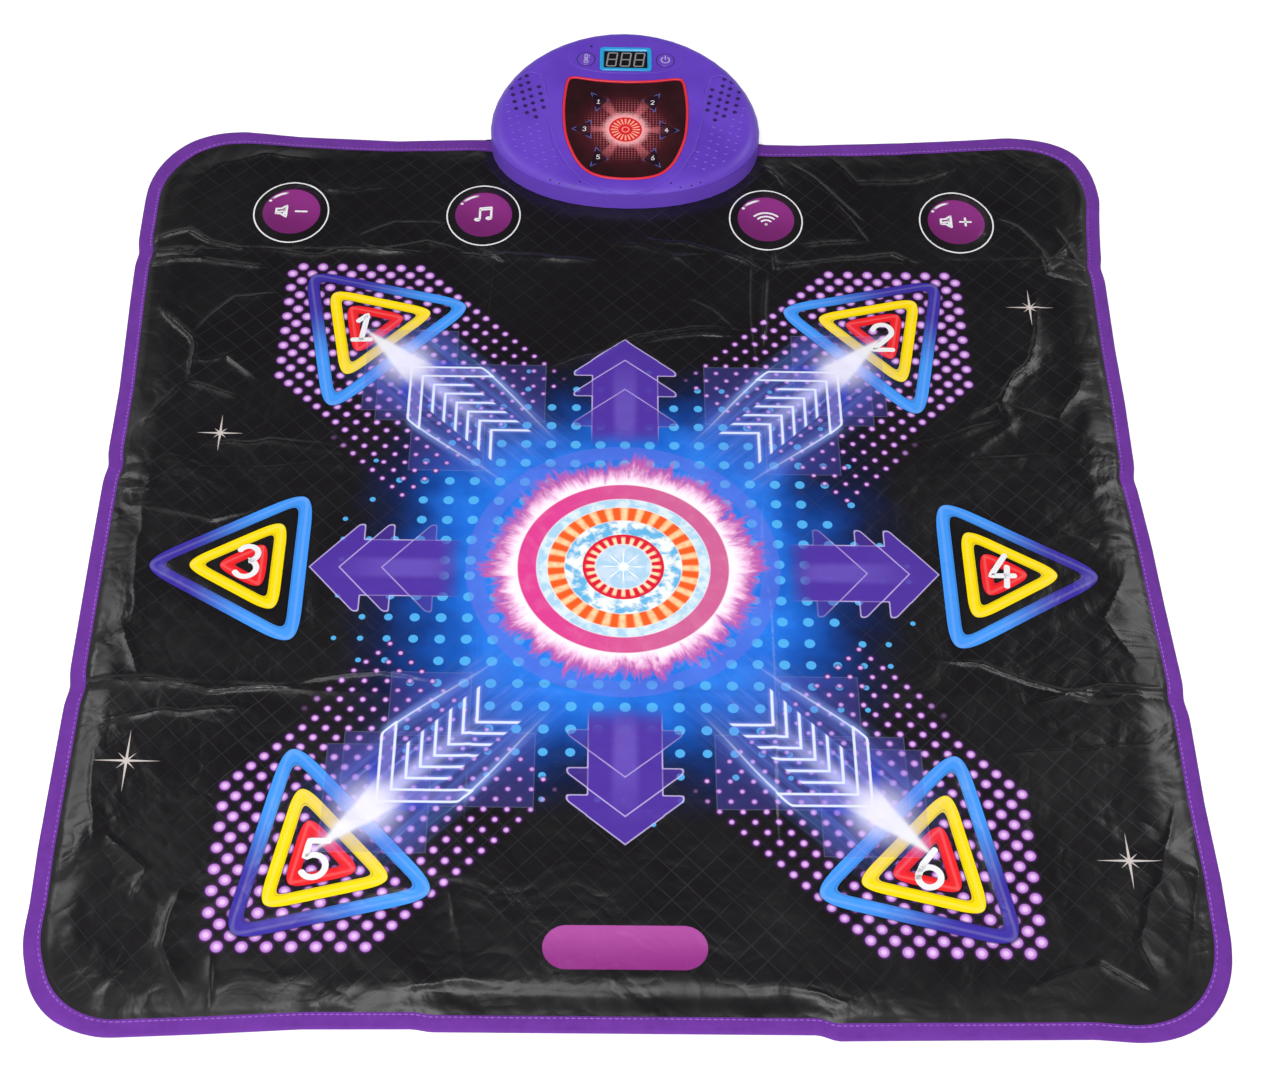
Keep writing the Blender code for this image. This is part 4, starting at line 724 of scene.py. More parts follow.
def planMesh(loops, step, extraY=(), extraX=(), dense=()):
    # triangles inside the first loop, with inner loops kept as edges and extra points where it is dense
    points, edges = [], []
    for loop in loops:
        first = len(points)
        for a, b in zip(loop, loop[1:] + loop[:1]):
            points += between(a, b, max(1, round(math.dist(a, b) / step)))
        count = len(points) - first
        edges += [(first + k, first + (k + 1) % count) for k in range(count)]
    outer = np.array(loops[0])
    low, high = outer.min(0), outer.max(0)
    xs = np.unique(np.round(np.concatenate([np.arange(low[0] + step / 2, high[0], step), extraX]), 5))
    ys = np.unique(np.round(np.concatenate([np.arange(low[1] + step / 2, high[1], step), extraY]), 5))
    gx, gy = (a.ravel() for a in np.meshgrid(xs, ys))
    shift = np.tile((np.arange(len(ys)) % 2 * step / 2)[:, None], (1, len(xs))).ravel()
    gx = gx + shift
    ring = np.array(points)
    keep = insidePlan(gx, gy, loops[0])
    gx, gy = gx[keep], gy[keep]
    fine = sheetPlan["closest"]
    seen = {(round(a / fine), round(b / fine)) for a, b in ring}
    close = []
    if len(dense):
        dense = np.array(dense)
        for a, b in dense[insidePlan(dense[:, 0], dense[:, 1], loops[0])]:
            key = (round(a / fine), round(b / fine))
            if key not in seen:
                seen.add(key)
                close.append((float(a), float(b)))
    cells = {(round(a / step), round(b / step)) for a, b in [*ring, *close]}
    free = [(a, b) for a, b in zip(gx, gy) if (round(a / step), round(b / step)) not in cells]
    whole = [Vector(p) for p in points + close + free]
    found = delaunay_2d_cdt(whole, edges, [], 0, 1e-7)
    places2d = np.array([tuple(v) for v in found[0]])
    faces = np.array([f for f in found[2] if len(f) == 3])
    middle = places2d[faces].mean(1)
    keep = insidePlan(middle[:, 0], middle[:, 1], loops[0])
    faces = faces[keep]
    a, b, c = (places2d[faces[:, k]] for k in range(3))
    area = (b[:, 0] - a[:, 0]) * (c[:, 1] - a[:, 1]) - (b[:, 1] - a[:, 1]) * (c[:, 0] - a[:, 0])
    faces = faces[np.abs(area) > 1e-11]
    area = area[np.abs(area) > 1e-11]
    faces[area < 0] = faces[area < 0][:, ::-1]
    return places2d, faces


def insidePlan(x, y, outline):
    ring = np.array(outline)
    low, high = ring.min(0), ring.max(0)
    result = np.zeros(len(x), bool)
    near = (x > low[0]) & (x < high[0]) & (y > low[1]) & (y < high[1])
    px, py = x[near], y[near]
    inner = np.zeros(len(px), bool)
    for a, b in zip(ring, np.roll(ring, -1, 0)):
        if a[1] != b[1]:
            cross = (a[1] > py) != (b[1] > py)
            inner ^= cross & (px < (b[0] - a[0]) * (py - a[1]) / (b[1] - a[1]) + a[0])
    result[near] = inner
    return result


def trimmed(points, faces):
    used = np.unique(faces)
    index = np.full(len(points), -1)
    index[used] = np.arange(len(used))
    return used, index[faces]


def newPiece(name, points, faces, look, flat=None, normals=None, smoothShade=True):
    mesh = bpy.data.meshes.new(name)
    mesh.from_pydata([tuple(p) for p in points], [], [tuple(f) for f in faces])
    mesh.validate()
    if smoothShade:
        mesh.shade_smooth()
    if flat is not None:
        layer = mesh.uv_layers.new(name="flat")
        corner = np.zeros(len(mesh.loops), np.int32)
        mesh.loops.foreach_get("vertex_index", corner)
        layer.uv.foreach_set("vector", np.asarray(flat, np.float32)[corner].ravel())
    if normals is not None:
        mesh.normals_split_custom_set_from_vertices([tuple(n) for n in normals])
    mesh.materials.append(look)
    item = bpy.data.objects.new(name, mesh)
    bpy.context.scene.collection.objects.link(item)
    return item


def vertexNormals(points, faces):
    a, b, c = (points[faces[:, k]] for k in range(3))
    face = np.cross(b - a, c - a)
    total = np.zeros_like(points)
    for k in range(3):
        np.add.at(total, faces[:, k], face)
    return total / np.maximum(np.linalg.norm(total, axis=1, keepdims=True), 1e-12)


def acrossFold(piece, height, half):
    # the piece hands over from the rear half to the front half within this distance of the hinge
    start, end = (0.0, foldAt + half, height), (0.0, foldAt - half, height)
    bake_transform(piece, panelRear, panelFront, start=start, end=end)


# Shader groups that more than one material uses.
def grainGroup():
    # fine embossed grain with soft blotches, as a height and a roughness change
    inputs = (("Place", None), ("Scale", 900.0), ("Blotch", 14.0))
    g, given, end = newGroup("vinylGrain", inputs, ("Height", "Wear"))
    cells = g.node("ShaderNodeTexVoronoi", feature="SMOOTH_F1")
    g.feed(cells.inputs["Vector"], given["Place"])
    g.feed(cells.inputs["Scale"], given["Scale"])
    fine = g.noise(given["Place"], given["Scale"] * 0.35)
    g.feed(end.inputs["Height"], Num(g, cells.outputs["Distance"]) * 0.7 + fine * 0.6)
    g.feed(end.inputs["Wear"], g.noise(given["Place"], given["Blotch"], 4.0))
    return g.tree


def dustGroup():
    # fine specks and faint rubbed marks
    g, given, end = newGroup("dustSpecks", (("Place", None), ("Amount", 0.5)), ("Mask",))
    specks = g.node("ShaderNodeTexVoronoi", feature="F1")
    g.feed(specks.inputs["Vector"], given["Place"])
    specks.inputs["Scale"].default_value = 260.0
    size = g.step(Num(g, specks.outputs["Distance"]), 0.10, 0.04)
    some = g.step(g.parts(specks.outputs["Color"])[0], 0.93, 0.96)
    rubbed = g.step(g.noise(given["Place"], 9.0, 5.0, 0.6), 0.62, 0.85) * 0.35
    g.feed(end.inputs["Mask"], g.math("ADD", size * some, rubbed, clamp=True) * given["Amount"])
    return g.tree


def weaveGroup():
    # ribbed ribbon weave from a strip's own length and width in metres
    g, given, end = newGroup("ribbonWeave", (("Place", None), ("Pitch", 0.0009)), ("Height", "Shade"))
    warp, weft = (g.math("SINE", part / given["Pitch"] * math.tau) for part in g.parts(given["Place"])[:2])
    cross = warp * weft
    slub = g.noise(given["Place"], 160.0, 3.0)
    g.feed(end.inputs["Height"], cross * 0.35 + warp * 0.25 + slub * 0.5)
    g.feed(end.inputs["Shade"], g.math("ADD", cross * 0.18 + 0.5, (slub - 0.5) * 0.7, clamp=True))
    return g.tree


def glintGroup():
    # a thin printed four-point sparkle round a centre
    inputs = (("X", 0.0), ("Y", 0.0), ("CentreX", 0.0), ("CentreY", 0.0), ("Reach", 0.03))
    g, given, end = newGroup("printedSparkle", inputs, ("Mask",))
    dx, dy = given["X"] - given["CentreX"], given["Y"] - given["CentreY"]
    ax, ay = abs(dx), abs(dy)

    def ray(side, far, reach, width):
        taper = g.math("SUBTRACT", 1.0, far / reach, clamp=True)
        return g.step(side, taper * width + 0.00022, taper * width - 0.0002) * g.step(far, reach, reach * 0.9)

    arms = g.high(ray(ax, ay, given["Reach"], 0.00115), ray(ay, ax, given["Reach"] * 0.95, 0.00115))
    p, q = abs(dx + dy) * 0.7071, abs(dx - dy) * 0.7071
    short = given["Reach"] * 0.36
    diagonals = g.high(ray(p, q, short, 0.0009), ray(q, p, short, 0.0009))
    core = g.step(g.length(dx, dy), 0.0034, 0.0012)
    g.feed(end.inputs["Mask"], g.high(g.high(arms, diagonals), core))
    return g.tree


def dotGroup():
    # distance to the nearest dot of a square grid, and where that dot's middle is
    inputs = (("X", 0.0), ("Y", 0.0), ("PitchX", 0.02), ("PitchY", 0.02), ("ShiftX", 0.0), ("ShiftY", 0.0))
    g, given, end = newGroup("dotGrid", inputs, ("Distance", "CentreX", "CentreY"))

    def nearest(value, pitch, shift):
        return g.math("ROUND", (value - shift) / pitch) * pitch + shift

    cx = nearest(given["X"], given["PitchX"], given["ShiftX"])
    cy = nearest(given["Y"], given["PitchY"], given["ShiftY"])
    g.feed(end.inputs["Distance"], g.length(given["X"] - cx, given["Y"] - cy))
    g.feed(end.inputs["CentreX"], cx)
    g.feed(end.inputs["CentreY"], cy)
    return g.tree


# Printed colours of the sheet.
ink = inksOf({
    "black": (22, 20, 22), "glow": (22, 98, 214), "glowEdge": (12, 34, 88), "glowCore": (44, 132, 240),
    "grid": (70, 72, 84), "dotCore": (236, 200, 246), "dot": (190, 128, 212), "dotHalo": (70, 28, 92),
    "cyanDot": (84, 180, 242), "arrow": (82, 52, 162), "arrowLine": (206, 190, 236),
    "beam": (96, 132, 232), "beamBody": (92, 86, 190), "beamLine": (226, 234, 255),
    "indigo": (60, 46, 160), "azure": (66, 150, 244), "yellow": (252, 220, 0), "red": (238, 34, 40),
    "pink": (226, 66, 148), "pinkPale": (210, 100, 152), "ringRed": (226, 30, 58),
    "cream": (250, 226, 180), "orange": (244, 96, 36), "paleBlue": (206, 232, 246),
    "skyBlue": (104, 184, 232), "flame": (248, 196, 232), "flameEdge": (206, 84, 160),
    "outerRing": (104, 112, 226), "magenta": (140, 46, 128), "magentaDeep": (112, 34, 102),
    "white": (238, 238, 240), "sparkle": (214, 204, 200), "padEdge": (104, 40, 120),
    "padShadow": (8, 6, 12), "shine": (255, 255, 255), "padShade": (20, 14, 40), "spear": (132, 110, 214),
    "streak": (196, 214, 255), "beamCorner": (34, 62, 200), "blade": (150, 176, 255),
    "beamCore": (206, 206, 255), "bar": (150, 140, 226), "strokeGlow": (140, 150, 246),
    "flash": (232, 228, 255), "flameRoot": (255, 244, 252), "pinkWash": (255, 190, 215),
    "blotch": (244, 248, 244), "orangePale": (255, 222, 170), "discBlue": (176, 214, 240),
    "discPale": (228, 236, 250), "petal": (160, 208, 240), "rim": (255, 240, 246),
    "magentaPale": (152, 66, 148), "labelPale": (172, 78, 158), "dust": (120, 118, 120),
})

printPlan = {
    "shiftY": -mat["patternY"] - mat["shiftY"], "ringX": -0.0015, "ringY": 0.004,
    "rings": (0.0242, 0.0352, 0.0506, 0.0656, 0.0748, 0.0914), "haze": (0.1200, 0.1355),
    "arrowTips": (0.2705, 0.2450, 0.2085), "arrowHead": 0.0445, "arrowHalf": 0.0470, "arrowStem": 0.0300,
    "dotPitch": 0.0187, "dotRow": 0.0188, "cyanPitch": 0.0222, "gridPitch": 0.0240,
    "beam": {
        "offset": 0.0367, "first": 0.1972, "pitch": 0.0109, "stroke": 0.0024, "arm": 0.0345, "barArm": 0.0650,
        "tip": 0.3420,
        "veils": ((0.150, 0.203, 0.077, 0.035), (0.198, 0.230, 0.042, 0.050), (0.160, 0.140, 0.033, 0.031)),
    },
    "dotField": {
        "across": 0.146, "outward": 0.262, "x": 0.3215, "y": 0.3700,
        "small": 0.0020, "large": 0.0047, "halo": 0.0016,
    },
    "padRings": ((-0.0025, 0.0093, 0.043, 0.016), (0.0173, 0.0278, 0.030, 0.010),
                 (0.0315, 0.0418, 0.025, 0.005)),
    "pill": {"halfX": 0.0445, "y": -0.3600, "radius": 0.0185},
    "sparkles": ((-0.364, 0.150, 0.022), (0.385, 0.321, 0.024), (-0.400, -0.199, 0.030),
                 (0.393, -0.281, 0.026)),
    "menuRing": 0.039, "menuDisc": (0.0278, 0.0310, 0.029),
}


def planes(core, radius):
    # the three edge lines of a rounded triangle: normal and distance outwards
    ring = turned(list(core))
    found = []
    for a, b in zip(ring, ring[1:] + ring[:1]):
        long = math.dist(a, b)
        nx, ny = (b[1] - a[1]) / long, -(b[0] - a[0]) / long
        found.append((nx, ny, a[0] * nx + a[1] * ny + radius))
    return found


def paintPads(g, u, v, core, outward, glowLine):
    edges = [u * nx + v * ny - far for nx, ny, far in planes(core, stepPad["radius"])]
    centre = (sum(p[0] for p in core) / 3, sum(p[1] for p in core) / 3)
    along = (u - centre[0]) * outward[0] + (v - centre[1]) * outward[1]

    def depth(reach):
        return 0.0 - g.softHigh(g.softHigh(edges[0], edges[1], reach), edges[2], reach)

    fill = g.mix(g.step(along, 0.055, -0.012), ink["indigo"], ink["azure"])
    colours = (fill, ink["yellow"], ink["red"])
    if glowLine:
        outer = depth(0.043)
        g.paint(g.inside(0.0 - outer, 0.0), ink["black"])
        g.paint(g.line(outer + 0.0014, 0.0016, 0.0006), ink["padEdge"], 0.75)
    for (start, end, outerReach, innerReach), colour in zip(printPlan["padRings"], colours):
        far, near = depth(outerReach), depth(innerReach)
        shadow = g.low(g.step(far, start - 0.0016, start + 0.0002), g.step(near, end + 0.0016, end - 0.0002))
        g.paint(shadow, ink["padShadow"], 0.85)
        band = g.low(g.step(far, start - 0.0002, start + 0.0003), g.step(near, end + 0.0002, end - 0.0003))
        g.paint(band, colour)
        middle = (start + end) / 2
        g.paint(g.line(near - middle + 0.0006, 0.0022, 0.0010) * band, ink["shine"], 0.07)
        g.paint(g.line(near - end + 0.0010, 0.0010, 0.0006) * band, ink["padShade"], 0.30)


def paintArrow(g, u, w):
    plan = printPlan
    fade = g.step(u, 0.138, 0.170)
    roofSlope = (plan["arrowHead"] - 0.0045) / plan["arrowHalf"]
    for k, tip in enumerate(plan["arrowTips"]):
        roof = (u - tip + w * roofSlope) * (1 / math.hypot(1, roofSlope))
        wing = g.softHigh(g.softHigh(roof, tip - plan["arrowHead"] - u, 0.006), w - plan["arrowHalf"], 0.004)
        stem = g.high(roof, w - plan["arrowStem"])
        shape = g.math("SMOOTH_MIN", wing, stem, 0.002)
        seen = g.inside(shape) * fade
        g.paint(seen, ink["arrow"], (0.92, 0.62, 0.55)[k])
        g.paint(g.line(shape, 0.0011, 0.0003) * g.step(u, 0.140, 0.215, 0.0, 0.75), ink["arrowLine"])
    spear = g.inside(w - (u - 0.13) * 0.02 - 0.0085, 0.0, 0.004) * g.step(u, 0.262, 0.19) * fade
    g.paint(spear, ink["spear"], 0.35)


def paintBeam(g, ax, ay):
    # light beams on the diagonals with stacked chevrons that point at the corner pads
    plan = printPlan["beam"]
    b = ay - plan["offset"]
    s, t = (ax + b) * 0.7071, (ax - b) * 0.7071
    side = abs(t)
    ahead, behind = g.high(ax, b), g.low(ax, b)
    arm = ahead - behind
    streak = g.noise(g.vector(t * 150.0, s * 6.0), 1.0, 3.0, 0.6)
    run = g.step(s, 0.090, 0.160) * g.step(s, 0.345, 0.270)
    body = g.step(side, 0.062, 0.030) * run
    g.paint(body * g.step(streak, 0.28, 0.70, 0.15, 1.0), ink["beam"], 0.50)
    g.paint(body * g.step(streak, 0.58, 0.74), ink["streak"], 0.45)
    for cx, cy, halfX, halfY in plan["veils"]:
        veil = g.high(abs(ax - cx) - halfX, abs(ay - cy) - halfY)
        g.paint(g.inside(veil), ink["beamBody"], 0.22)
        g.paint(g.line(veil, 0.0008, 0.0004), ink["beamLine"], 0.07)
    corner = g.inside(abs(ahead - plan["first"] - 0.0040) - 0.0044, 0.0, 0.0005) * g.step(arm, 0.062, 0.016)
    g.paint(corner, ink["beamCorner"], 0.75)
    # rays that run back from the ends of the widest chevron
    ray = side - g.step(s, 0.110, 0.232, 0.034, 0.0455)
    blade = g.step(s, 0.110, 0.225, 0.0, 1.0) * g.step(s, 0.236, 0.226)
    g.paint(g.step(abs(ray), 0.0080, 0.0) * blade, ink["blade"], 0.45)
    g.paint(g.line(ray, 0.0014, 0.0008) * blade, ink["beamLine"], 0.85)
    middle = g.step(side, 0.0130, 0.0010) * g.step(s, 0.150, 0.265) * g.step(s, 0.350, 0.30)
    g.paint(middle, ink["beamCore"], 0.72)
    # chevrons: one hollow bar, then six plain strokes
    half = plan["pitch"] / 2
    bar = g.softHigh(abs(ahead - plan["first"] + half) - half, arm - plan["barArm"], 0.004)
    g.paint(g.inside(bar), ink["bar"], 0.34)
    rows = (plan["first"] - ahead) / plan["pitch"]
    stroke = abs(rows - g.math("ROUND", rows)) * plan["pitch"]
    shown = g.step(rows, 1.5, 1.6) * g.step(rows, 7.5, 7.4) * g.inside(arm - plan["arm"], 0.0, 0.0012)
    g.paint(g.step(stroke, 0.0044, 0.0006) * shown, ink["strokeGlow"], 0.45)
    strokes = g.line(stroke, plan["stroke"], 0.0005) * shown
    strokes = g.high(strokes, g.line(bar, plan["stroke"] * 0.9, 0.0005))
    g.paint(strokes, ink["beamLine"], 0.94)
    # the white tip that lands on the pad
    spike = g.step(side - (plan["tip"] - s) * 0.21, 0.0024, -0.0024) * g.step(s, 0.258, 0.285)
    g.paint(spike, ink["white"], 0.94)
    flash = g.step(g.length(s - 0.288, t * 1.1), 0.040, 0.004)
    g.paint(flash, ink["flash"], 0.70)


def paintBurst(g, x, y):
    dx, dy = x - printPlan["ringX"], y - printPlan["ringY"]
    far = g.length(dx, dy)
    near = g.high(far, 0.004)
    rayPlace = g.vector(dx / near * 3.1, dy / near * 3.1, far * 9.0)
    lick = g.noise(rayPlace, 1.6, 4.0, 0.62, 1.1)
    fine = g.noise(rayPlace, 5.5, 3.0, 0.6, 1.6)
    turn = g.math("ARCTAN2", dy, dx)
    disc, redEnd, blueEnd, orangeEnd, whiteEnd, pinkEnd = printPlan["rings"]
    # pale ring far out
    haze = g.inside(abs(far - sum(printPlan["haze"]) / 2) - 0.0078, 0.0, 0.0006)
    g.paint(haze, ink["outerRing"], 0.42)
    # corona of light licks, pink at the ends and white at the root
    reach = (far - pinkEnd) * 17.0
    corona = g.step(lick * 0.95 + fine * 0.42 - reach, 0.18, 0.40)
    g.paint(corona, ink["flameEdge"], 0.85)
    hot = g.step(lick * 0.9 + fine * 0.5 - reach * 1.35, 0.24, 0.56)
    g.paint(hot, ink["flame"])
    white = g.step(lick + fine * 0.35 - reach * 1.9, 0.30, 0.62)
    g.paint(white, ink["flameRoot"])
    # the rings, widest first
    g.paint(g.inside(far, pinkEnd), g.mix(g.step(dx, -0.075, 0.06), ink["pink"], ink["pinkPale"]))
    wash = g.noise(g.vector(dx * 60.0, dy * 60.0), 1.0, 3.0, 0.6, 0.4)
    g.paint(g.inside(far, pinkEnd) * g.step(wash, 0.45, 0.75), ink["pinkWash"], 0.12)
    blotch = g.step(g.noise(g.vector(dx * 95.0, dy * 95.0, 3.0), 1.0, 3.0, 0.55, 0.3), 0.40, 0.60)
    pale = g.mix(blotch, ink["skyBlue"], ink["blotch"])
    g.paint(g.inside(far, whiteEnd), g.mix(0.6, pale, ink["paleBlue"]))

    def bars(count, soft, turnBy):
        return g.step(g.math("COSINE", turn * count + turnBy), 0.2 - soft, 0.2 + soft)

    flicker = g.noise(g.vector(dx * 230.0, dy * 230.0, 8.0), 1.0, 2.0)
    teeth = bars(28, 0.75, 0.4) * g.step(flicker, 0.2, 0.7, 0.55, 1.0)
    g.paint(g.inside(far, orangeEnd), g.mix(teeth, ink["orange"], ink["orangePale"]))
    g.paint(g.inside(far, blueEnd), pale)
    teeth = bars(24, 0.6, 0.0) * g.step(far, redEnd - 0.0015, redEnd - 0.0050)
    g.paint(g.inside(far, redEnd), g.mix(teeth, ink["ringRed"], ink["cream"]))
    petals = abs(g.math("COSINE", turn * 4.0))
    star = g.step(petals * 0.024 - far, 0.004, 0.012)
    spokes = g.step(g.math("COSINE", turn * 8.0), 0.75, 0.97) * g.step(far, 0.022, 0.010)
    spokes = g.high(spokes, g.step(far, 0.007, 0.002))
    middle = g.mix(star * 0.7, g.mix(blotch * 0.6, ink["discBlue"], ink["discPale"]), ink["petal"])
    g.paint(g.inside(far, disc), g.mix(spokes, middle, ink["shine"]))
    rims = g.line(far - disc, 0.0016, 0.0004)
    for edge in (blueEnd, orangeEnd, whiteEnd, pinkEnd):
        rims = g.high(rims, g.line(far - edge, 0.0011, 0.0004))
    g.paint(rims, ink["rim"], 0.5)


def printColour(g, place):
    x, worldY = g.parts(place)[:2]
    y = worldY + printPlan["shiftY"]
    ax, ay = abs(x), abs(y)
    far = g.length(x, y)
    cloud = g.noise(place, 9.0, 3.0, 0.55)
    fineCloud = g.noise(place, 34.0, 2.0, 0.5)
    # black ground with the blue glow behind the burst
    lobe = g.math("COSINE", g.math("ARCTAN2", y, x) * 4.0) * 0.012
    edge = far + (cloud - 0.5) * 0.09 + (fineCloud - 0.5) * 0.03 + lobe
    patches = g.step(g.noise(place, 22.0, 3.0, 0.6), 0.30, 0.65, 0.35, 0.9)
    g.ground = ink["black"]
    g.paint(g.step(edge, 0.268, 0.168), ink["glowEdge"])
    g.paint(g.step(edge, 0.224, 0.120), ink["glow"])
    g.paint(g.step(edge, 0.190, 0.110) * patches, ink["glowCore"])
    # faint crossed lines
    grid = printPlan["gridPitch"]

    def crossed(value):
        scaled = value / grid
        return g.line((scaled - g.math("ROUND", scaled)) * grid * 0.7071, 0.0006, 0.0004)

    lines = g.high(crossed(x + y * 0.94), crossed(x - y * 0.94)) * g.step(planInside(g, x, y), 0.0, 0.02)
    g.paint(lines * g.step(cloud, 0.35, 0.70, 0.08, 0.36), ink["grid"])
    # cyan dots on a square grid
    pitch = printPlan["cyanPitch"]
    near, cx, cy = g.use(groups["dots"], X=ax, Y=ay, PitchX=pitch, PitchY=pitch, ShiftY=0.0083).values()
    rare = g.chance(cx * 37.0 + cy * 91.0 + g.math("SIGN", x) * 5.0 + g.math("SIGN", y) * 11.0)
    size = g.step(g.length(cx, cy), 0.260, 0.160, 0.0022, 0.0046)
    spot = g.step(near - size, 0.0004, -0.0004) * g.step(g.length(cx, cy) + rare * 0.085, 0.2725, 0.2715)
    g.paint(spot * g.step(far, 0.105, 0.125), ink["cyanDot"], 0.90)
    # glowing dots round the corner pads, whole or not at all
    field = printPlan["dotField"]
    pitchX, pitchY = printPlan["dotPitch"], printPlan["dotRow"]
    first, second = (
        g.use(groups["dots"], X=ax, Y=ay, PitchX=pitchX, PitchY=pitchY, ShiftX=0.0095 + half * pitchX,
              ShiftY=0.0050 + half * pitchY)
        for half in (0.0, 0.5)
    )
    nearer = g.math("LESS_THAN", second["Distance"], first["Distance"])
    near, cx, cy = (a + (b - a) * nearer for a, b in zip(first.values(), second.values()))
    outward = cx + cy
    shown = g.inside(abs(cx * 1.06 - cy + 0.015) - field["across"], 0.0, 0.001)
    shown = shown * g.step(outward, field["outward"], field["outward"] + 0.01)
    shown = shown * g.inside(cx - field["x"], 0.0, 0.001) * g.inside(cy - field["y"], 0.0, 0.001)
    dotSize = g.step(outward, 0.260, 0.640, field["small"], field["large"])
    g.paint(g.step(near - dotSize, field["halo"] * 1.6, 0.0) * shown, ink["dotHalo"], 0.75)
    g.paint(g.step(near - dotSize, 0.0006, -0.0008) * shown, ink["dot"])
    g.paint(g.step(near - dotSize * 0.55, 0.0010, -0.0012) * shown, ink["dotCore"], 0.85)
    # arrows on the four arms
    paintArrow(g, g.high(ax, ay), g.low(ax, ay))
    # step pads
    paintPads(g, ax, ay, stepPad["corner"], (0.647, 0.762), False)
    paintPads(g, ax, y, stepPad["side"], (1.0, 0.0), True)
    paintBeam(g, ax, ay)
    paintBurst(g, x, y)
    # menu discs along the rear edge
    spread = (menuPad["outerX"] + menuPad["innerX"]) / 2
    half = (menuPad["outerX"] - menuPad["innerX"]) / 2
    centre = g.math("SIGN", x) * (spread + g.math("SIGN", ax - spread) * half)
    dx, dy = x - centre, y - (menuPad["y"] - mat["patternY"])
    oval = g.length(dx / menuPad["radiusX"], dy / menuPad["radiusY"])
    ring = (oval - 1.0) * printPlan["menuRing"]
    g.paint(g.inside(ring, 0.001), ink["black"])
    g.paint(g.line(ring + 0.0006, 0.0014, 0.0002), ink["white"])
    discX, discY, discMean = printPlan["menuDisc"]
    disc = (g.length(dx / discX, dy / discY) - 1.0) * discMean
    tone = g.mix(g.step(dy + dx * 0.4, -0.03, 0.03), ink["magentaDeep"], ink["magenta"])
    g.paint(g.inside(disc, 0.0, 0.0005), tone)
    g.paint(g.step(g.length(dx - 0.004, dy - 0.013), 0.030, 0.004), ink["magentaPale"], 0.12)
    arc = g.line(g.length(dx, dy) - 0.0268, 0.0026, 0.0004)
    arc = arc * g.line(g.math("ARCTAN2", dy, dx) - 2.10, 0.52, 0.12)
    g.paint(g.high(arc, g.step(g.length(dx + 0.0218, dy - 0.0148), 0.0019, 0.0011)), ink["white"])
    # label near the front edge
    label = printPlan["pill"]
    px, py = g.high(abs(x) - label["halfX"], 0.0), y - label["y"]
    tone = g.mix(g.step(py, -0.02, 0.02), ink["magenta"], ink["labelPale"])
    g.paint(g.inside(g.length(px, py) - label["radius"], 0.0, 0.0004), tone)
    # sparkles
    for cx, cy, reach in printPlan["sparkles"]:
        star = g.use(groups["sparkle"], X=x, Y=y, CentreX=cx, CentreY=cy, Reach=reach)["Mask"]
        g.paint(star, ink["sparkle"], 0.9)
    return g.ground


def planInside(g, x, y):
    # how far inside the printed field a point is
    return g.low(0.44 - abs(x), 0.47 - abs(y - 0.06))


def sheetMaterial():
    look = newMaterial("printedVinyl")
    g = Graph(look.node_tree)
    flat = g.node("ShaderNodeUVMap", uv_map="flat").outputs[0]
    colour = printColour(g, flat)
    height, wear = g.use(groups["grain"], Place=flat, Scale=1300.0, Blotch=11.0).values()
    dust = g.use(groups["dust"], Place=flat, Amount=0.10)["Mask"]
    # the small soft creases of thin vinyl, on top of the modelled ones
    crumple = g.noise(flat, 17.0, 3.0, 0.45, 1.2)
    facets = abs(g.noise(flat, 30.0, 1.0, 0.4, 0.6) - 0.5)
    soft = g.bump(crumple + facets * 0.6, 0.35, 0.006)
    colour = g.mix(dust, colour, ink["dust"])
    g.finish(colour, wear, (0.24, 0.32), 0.40, g.bump(height, 0.08, 0.0004, soft))
    return look


def plainMaterial(name, colour, roughness, scale=700.0, bump=0.10, metal=0.0, specular=0.5, tone=0.85):
    # moulded or coated finish: colour shift, fine grain and handling marks
    look = newMaterial(name)
    g = Graph(look.node_tree)
    place = g.objectCoords()
    height, wear = g.use(groups["grain"], Place=place, Scale=scale, Blotch=22.0).values()
    dust = g.use(groups["dust"], Place=place, Amount=0.12)["Mask"]
    main = linear(*colour)
    deep = tuple(c * tone for c in main[:3]) + (1.0,)
    shade = g.mix(dust, g.mix(wear, deep, main), linear(170, 168, 172))
    g.shader.inputs["Metallic"].default_value = metal
    g.finish(shade, wear, (roughness - 0.06, roughness + 0.06), specular, g.bump(height, bump, 0.0003))
    return look


ribbonInk = inksOf({
    "deep": (88, 36, 130), "plain": (116, 52, 164), "pale": (128, 62, 176), "dust": (190, 170, 205),
})


def tapeMaterial():
    look = newMaterial("purpleBinding")
    g = Graph(look.node_tree)
    strip = g.node("ShaderNodeUVMap", uv_map="flat").outputs[0]
    height, weave = g.use(groups["weave"], Place=strip, Pitch=0.0011).values()
    cloud = g.noise(strip, 30.0, 4.0)
    shade = g.mix(weave, ribbonInk["deep"], ribbonInk["plain"])
    shade = g.mix(g.step(cloud, 0.35, 0.75) * 0.25, shade, ribbonInk["pale"])
    dust = g.use(groups["dust"], Place=strip, Amount=0.12)["Mask"]
    shade = g.mix(dust, shade, ribbonInk["dust"])
    g.shader.inputs["Sheen Weight"].default_value = 0.04
    g.shader.inputs["Sheen Roughness"].default_value = 0.5
    soft = g.bump(g.noise(strip, 70.0, 3.0, 0.5, 0.5), 0.35, 0.0020)
    g.finish(shade, cloud, (0.62, 0.74), 0.2, g.bump(height, 0.30, 0.0003, soft))
    return look


